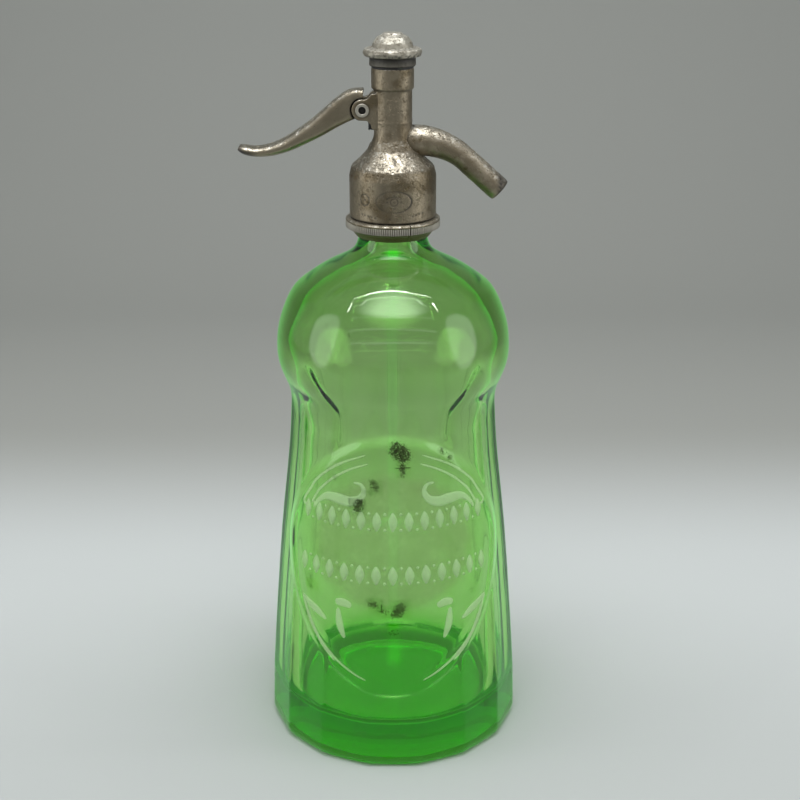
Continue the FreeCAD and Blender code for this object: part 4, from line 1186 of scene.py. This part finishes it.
def makeLever(size):
    centres = curveThrough([s[:2] for s in size["stations"]], 5)
    halves = curveThrough([s[2:] for s in size["stations"]], 5)
    points = []
    for index, ((x, z), (tall, wide)) in enumerate(zip(centres, halves)):
        before = Vector(centres[max(index - 1, 0)])
        after = Vector(centres[min(index + 1, len(centres) - 1)])
        along = (after - before).normalized()
        normal = Vector((along.y, -along.x))       # towards +z on a blade that runs to -x
        share = index / (len(centres) - 1)
        power = 5.0 - 2.8 * softStep(share * 1.5)  # flat sides near the pivot, oval at the tip
        for angle in turnsOf(size["sides"]):
            cosine, sine = math.cos(angle), math.sin(angle)
            across = math.copysign(abs(cosine) ** (2 / power), cosine) * wide
            up = math.copysign(abs(sine) ** (2 / power), sine) * tall
            points.append((x + normal.x * up, across, z + normal.y * up))
    last, total = len(points) - size["sides"], len(points)
    faces = ringFaces(len(centres), size["sides"])
    faces += [tuple(range(size["sides"])), tuple(range(last, total))]
    mesh = meshFrom("leverBlade", points, faces)
    outward(mesh)
    obj = newObject("leverBlade", mesh)
    pivotX, pivotZ = size["pivot"]
    cutBy(obj, [rodAlong("shoulder", (pivotX, 0, pivotZ), (0, 1, 0), size["play"], 30, 96),
                bar("behind", [(-12.0, 262), (0, 262), (0, 292), (-11.6, 292)], -12, 12)])
    half = size["tongueWidth"] / 2
    hub, thin = size["hub"], size["tongueHalf"]
    tongue = [(pivotX + x, pivotZ + z) for x, z in (
        (-hub - 3.4, -2.6), (-0.5 * hub, -hub), (0.5 * hub, -0.7 * hub), (1.2 * hub, -thin),
        (1.0 - pivotX, -thin), (1.6 - pivotX, 0), (1.0 - pivotX, thin), (1.2 * hub, thin),
        (0.5 * hub, 0.8 * hub), (-0.5 * hub, hub), (-hub - 3.4, 2.6))]
    cutBy(obj, [bar("tongue", tongue, -half, half)], "UNION")
    cutBy(obj, [rodAlong("pinHole", (pivotX, 0, pivotZ), (0, 1, 0), size["rivetHole"], 30)])
    remeshed(obj, size["voxel"], 5)
    markGrimeAndShade(obj, lambda p: 0.95 * near(math.hypot(p.x - pivotX, p.z - pivotZ), 4.7, 0.5)
              + 0.8 * softStep((-60.5 - p.x) / 2.5)
              + 0.85 * softStep((-54.0 - p.x) / 6.0) * softStep((263.6 - p.z) / 1.2)
              + 0.3 * near(p.x, -15.5, 1.5))
    obj.data.materials.clear()
    obj.data.materials.append(leverTin)
    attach(obj, "lever")
    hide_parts("lever")
    print("lever made,", len(obj.data.polygons), "faces")


makeLever(lever)


# rivet of the lever

rivet = {
    "pivot": (-12.4, 279.7), "radius": 2.1, "bore": 1.5, "recess": 1.7, "flange": 2.75,
    "half": 5.5, "flangeHeight": 0.6,
}


def makeRivet(size):
    half = size["half"]
    top = half + size["flangeHeight"]
    deep = top - size["recess"]     # the bore is closed a little way in; its inside is painted black, a painted shade
    outline = rounded([
        (0.001, -deep, 0), (size["bore"], -deep, 0), (size["bore"], -top, 0.3),
        (size["flange"], -top, 0.45), (size["flange"], -half, 0.1), (size["radius"], -half, 0),
        (size["radius"], half, 0), (size["flange"], half, 0.1), (size["flange"], top, 0.45),
        (size["bore"], top, 0.3), (size["bore"], deep, 0), (0.001, deep, 0)], 0.2, 4)
    mesh = lathe("leverRivet", outline, 64)
    outward(mesh, 3e-6)
    x, z = size["pivot"]
    turn = Matrix.Translation(Vector((x, 0, z)) * millimetre) @ Matrix.Rotation(
        math.radians(90), 4, "X")
    mesh.transform(turn)
    obj = dressed("leverRivet", mesh, rivetTin)
    # inside the bore is painted black, a painted shade of the hole; a faint dark ring round the
    # flange
    markGrimeAndShade(obj, lambda p: 1.0 if math.hypot(p.x - x, p.z - z) < 1.62 and abs(p.y) < 5.95 else
              0.25 * near(math.hypot(p.x - x, p.z - z), 2.8, 0.2))
    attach(obj, "siphon")
    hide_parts("lever_pin")
    print("rivet made")


makeRivet(rivet)


# screw cap

cap = {
    "outline": [
        (5.0, 288.7, 0.2), (6.15, 288.7, 0.2), (6.15, 296.9, 0.1), (9.2, 296.9, 0.3),
        (9.55, 297.4, 0.3), (9.45, 300.2, 0.4), (10.2, 300.6, 0.3), (11.6, 300.9, 0.8),
        (12.1, 302.2, 0.8), (11.7, 303.5, 0.8), (10.6, 304.1, 0.6), (9.3, 304.1, 0.4),
        (8.5, 304.3, 0.5), (8.0, 306.2, 1.8), (6.4, 308.3, 1.8), (4.3, 309.3, 0.7),
        (3.6, 310.0, 0.3), (0.001, 310.0, 0), (0.001, 301.8, 0), (5.0, 301.8, 0.5)],
    "brimRough": 0.55, "domeRough": 0.14, "pitScale": 780,
}


def makeCap(size):
    mesh = lathe("screwCap", rounded(size["outline"], 0.3, 6), 144)
    outward(mesh, 3e-6)
    for vert in mesh.vertices:
        flat = Vector((vert.co.x, vert.co.y, 0))
        brim = near(vert.co.z, 0.3024, 0.0012) if flat.length > 0.0102 else 0.0
        amount = size["domeRough"] + (size["brimRough"] - size["domeRough"]) * brim
        dent = amount * (noise.noise(vert.co * size["pitScale"]) - 0.35) * millimetre
        if flat.length > 0.0055 and vert.co.z > 0.2968:
            vert.co += flat.normalized() * min(dent, 0.0)
    obj = dressed("screwCap", mesh, capTin)
    # dark under the ring and the brim, and in the brim's worn edge
    markGrimeAndShade(obj, lambda p: 0.75 * near(p.z, 297.1, 0.35) + 0.95 * near(p.z, 300.2, 0.6)
              + 0.35 * near(p.z, 304.2, 0.3)
              + (0.45 if p.z < 300.3 else 0)
              + 0.9 * near(p.z, 301.3, 1.1) * max(0.0, 0.3 + 1.6 * noise.noise(p * 1.1)))
    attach(obj, "siphon")
    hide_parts("cap")
    print("cap made")


makeCap(cap)


# split collar with its milled rim

collar = {
    "parting": 22.0, "gap": 0.42, "ridges": 66, "ridgeRadius": 0.4, "ridgeHeight": 2.7,
    "ridgeLevel": 232.3, "rim": 19.42, "margin": 1.2,
    "outline": [
        (14.7, 227.2, 0.2), (15.5, 227.2, 0.3), (17.3, 229.6, 0.4), (18.7, 230.5, 0.4),
        (19.2, 231.1, 0.4), (19.3, 233.6, 0.3), (19.8, 233.8, 0.4), (19.8, 234.4, 0.5),
        (18.9, 235.0, 0.4), (15.7, 235.0, 0.1), (15.7, 240.9, 0.2), (13.1, 240.9, 0.2),
        (13.1, 231.3, 0.2), (14.7, 229.3, 0.2)],
}


def millingTree():
    # ridges set round an arc: each a small upright bar, realised at the end
    tree = bpy.data.node_groups.new("rimMilling", "GeometryNodeTree")
    for label, kind in (("Ridges", "Int"), ("Rim Radius", "Float"), ("Start", "Float"),
                        ("Sweep", "Float"), ("Level", "Float"), ("Ridge Radius", "Float"),
                        ("Ridge Height", "Float"), ("Material", "Material")):
        tree.interface.new_socket(label, in_out="INPUT", socket_type="NodeSocket" + kind)
    tree.interface.new_socket("Geometry", in_out="OUTPUT", socket_type="NodeSocketGeometry")
    nodes = {name: tree.nodes.new(kind) for name, kind in (
        ("into", "NodeGroupInput"), ("out", "NodeGroupOutput"),
        ("arc", "GeometryNodeCurveArc"), ("ridge", "GeometryNodeMeshCylinder"),
        ("copies", "GeometryNodeInstanceOnPoints"), ("lift", "GeometryNodeTranslateInstances"),
        ("level", "ShaderNodeCombineXYZ"), ("real", "GeometryNodeRealizeInstances"),
        ("coat", "GeometryNodeSetMaterial"))}
    nodes["arc"].inputs["Connect Center"].default_value = False
    nodes["ridge"].inputs["Vertices"].default_value = 8
    nodes["ridge"].inputs["Side Segments"].default_value = 1
    nodes["lift"].inputs["Local Space"].default_value = False
    for source, output, target, socket in (
            ("into", "Ridges", "arc", "Resolution"), ("into", "Rim Radius", "arc", "Radius"),
            ("into", "Start", "arc", "Start Angle"), ("into", "Sweep", "arc", "Sweep Angle"),
            ("into", "Ridge Radius", "ridge", "Radius"),
            ("into", "Ridge Height", "ridge", "Depth"),
            ("arc", "Curve", "copies", "Points"), ("ridge", "Mesh", "copies", "Instance"),
            ("into", "Level", "level", "Z"), ("level", "Vector", "lift", "Translation"),
            ("copies", "Instances", "lift", "Instances"),
            ("lift", "Instances", "real", "Geometry"), ("real", "Geometry", "coat", "Geometry"),
            ("into", "Material", "coat", "Material"), ("coat", "Geometry", "out", "Geometry")):
        tree.links.new(nodes[source].outputs[output], nodes[target].inputs[socket])
    return tree


def makeCollar(size):
    outline = rounded(size["outline"], 0.3, 4)
    tree = millingTree()
    sockets = {item.name: item.identifier for item in tree.interface.items_tree
               if item.in_out == "INPUT"}
    gapAngle = math.degrees(size["gap"] / size["rim"])
    for side, node, turn in (("Right", "collar_half_right", 0), ("Left", "collar_half_left", 180)):
        start = size["parting"] - 90 + turn + gapAngle / 2
        sweep = 180 - gapAngle
        mesh = lathe("collar" + side, outline, 72, start, sweep)
        obj = dressed("collar" + side, mesh, collarTin)
        obj.data.set_sharp_from_angle(angle=math.radians(50))
        # dark between the milled ridges and on the cone below them
        markGrimeAndShade(obj, lambda p: 0.5 * near(p.z, 235.0, 0.3)
                  + (0.85 if p.z < 233.7 and math.hypot(p.x, p.y) > 18.6 else 0)
                  + (0.7 if p.z < 230.8 else 0))
        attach(obj, "siphon")
        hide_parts(node)
        ridges = newObject("milling" + side, bpy.data.meshes.new("milling" + side))
        step = ridges.modifiers.new("milling", "NODES")
        step.node_group = tree
        margin = size["margin"]
        for label, value in (
                ("Ridges", size["ridges"]), ("Rim Radius", size["rim"] * millimetre),
                ("Start", math.radians(start + margin)),
                ("Sweep", math.radians(sweep - 2 * margin)),
                ("Level", size["ridgeLevel"] * millimetre),
                ("Ridge Radius", size["ridgeRadius"] * millimetre),
                ("Ridge Height", size["ridgeHeight"] * millimetre), ("Material", rivetTin)):
            step[sockets[label]] = value
        applied(ridges, "milling" + side)
        markGrimeAndShade(ridges, lambda p: 0.45 * softStep((231.8 - p.z) / 1.0))
        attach(ridges, "siphon")
    print("collar made")


makeCollar(collar)


# ragged strip below the lever slot

strip = {"low": (-10.1, -2.3, 271.2), "high": (-7.6, 2.3, 275.4), "ragLow": 2.4, "ragOut": 0.8}


def makeStrip(size):
    mesh = bpy.data.meshes.new("slotStrip")
    work = bmesh.new()
    bmesh.ops.create_cube(work, size=1.0)
    bmesh.ops.subdivide_edges(work, edges=work.edges, cuts=9, use_grid_fill=True)
    low, high = Vector(size["low"]), Vector(size["high"])
    for vert in work.verts:
        share = vert.co + Vector((0.5, 0.5, 0.5))
        spot = Vector([low[i] + share[i] * (high[i] - low[i]) for i in range(3)])
        rag = noise.noise(spot * 1.3)
        spot.z += max(0.0, 0.5 - share.z) * size["ragLow"] * max(rag, 0)
        spot.x += max(0.0, 0.6 - share.x) * size["ragOut"] * (0.5 + noise.noise(spot * 2.1 + low))
        vert.co = spot * millimetre
    bmesh.ops.recalc_face_normals(work, faces=work.faces)
    work.to_mesh(mesh)
    work.free()
    mesh.materials.append(agedRubber)
    obj = newObject("slotStrip", mesh)
    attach(obj, "siphon")
    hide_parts("slot_strip")
    print("strip made")


makeStrip(strip)


# materials of the CAD nodes that stay

keptMaterials = {
    "lip_gasket": agedRubber, "cap_washer": agedRubber, "tube_seal": agedRubber,
    "valve_rubber": agedRubber, "piston_packing": greasedLeather, "packing_follower": dullBrass,
    "plunger": dullBrass, "spring_washer": dullBrass, "valve_nut": dullBrass,
    "valve_seat": dullBrass, "tube_nut": dullBrass, "plunger_spring": springWire,
    "dip_tube": tubeGlass,
}
for node, material in keptMaterials.items():
    for place in bpy.data.objects[node].material_slots:
        place.material = material
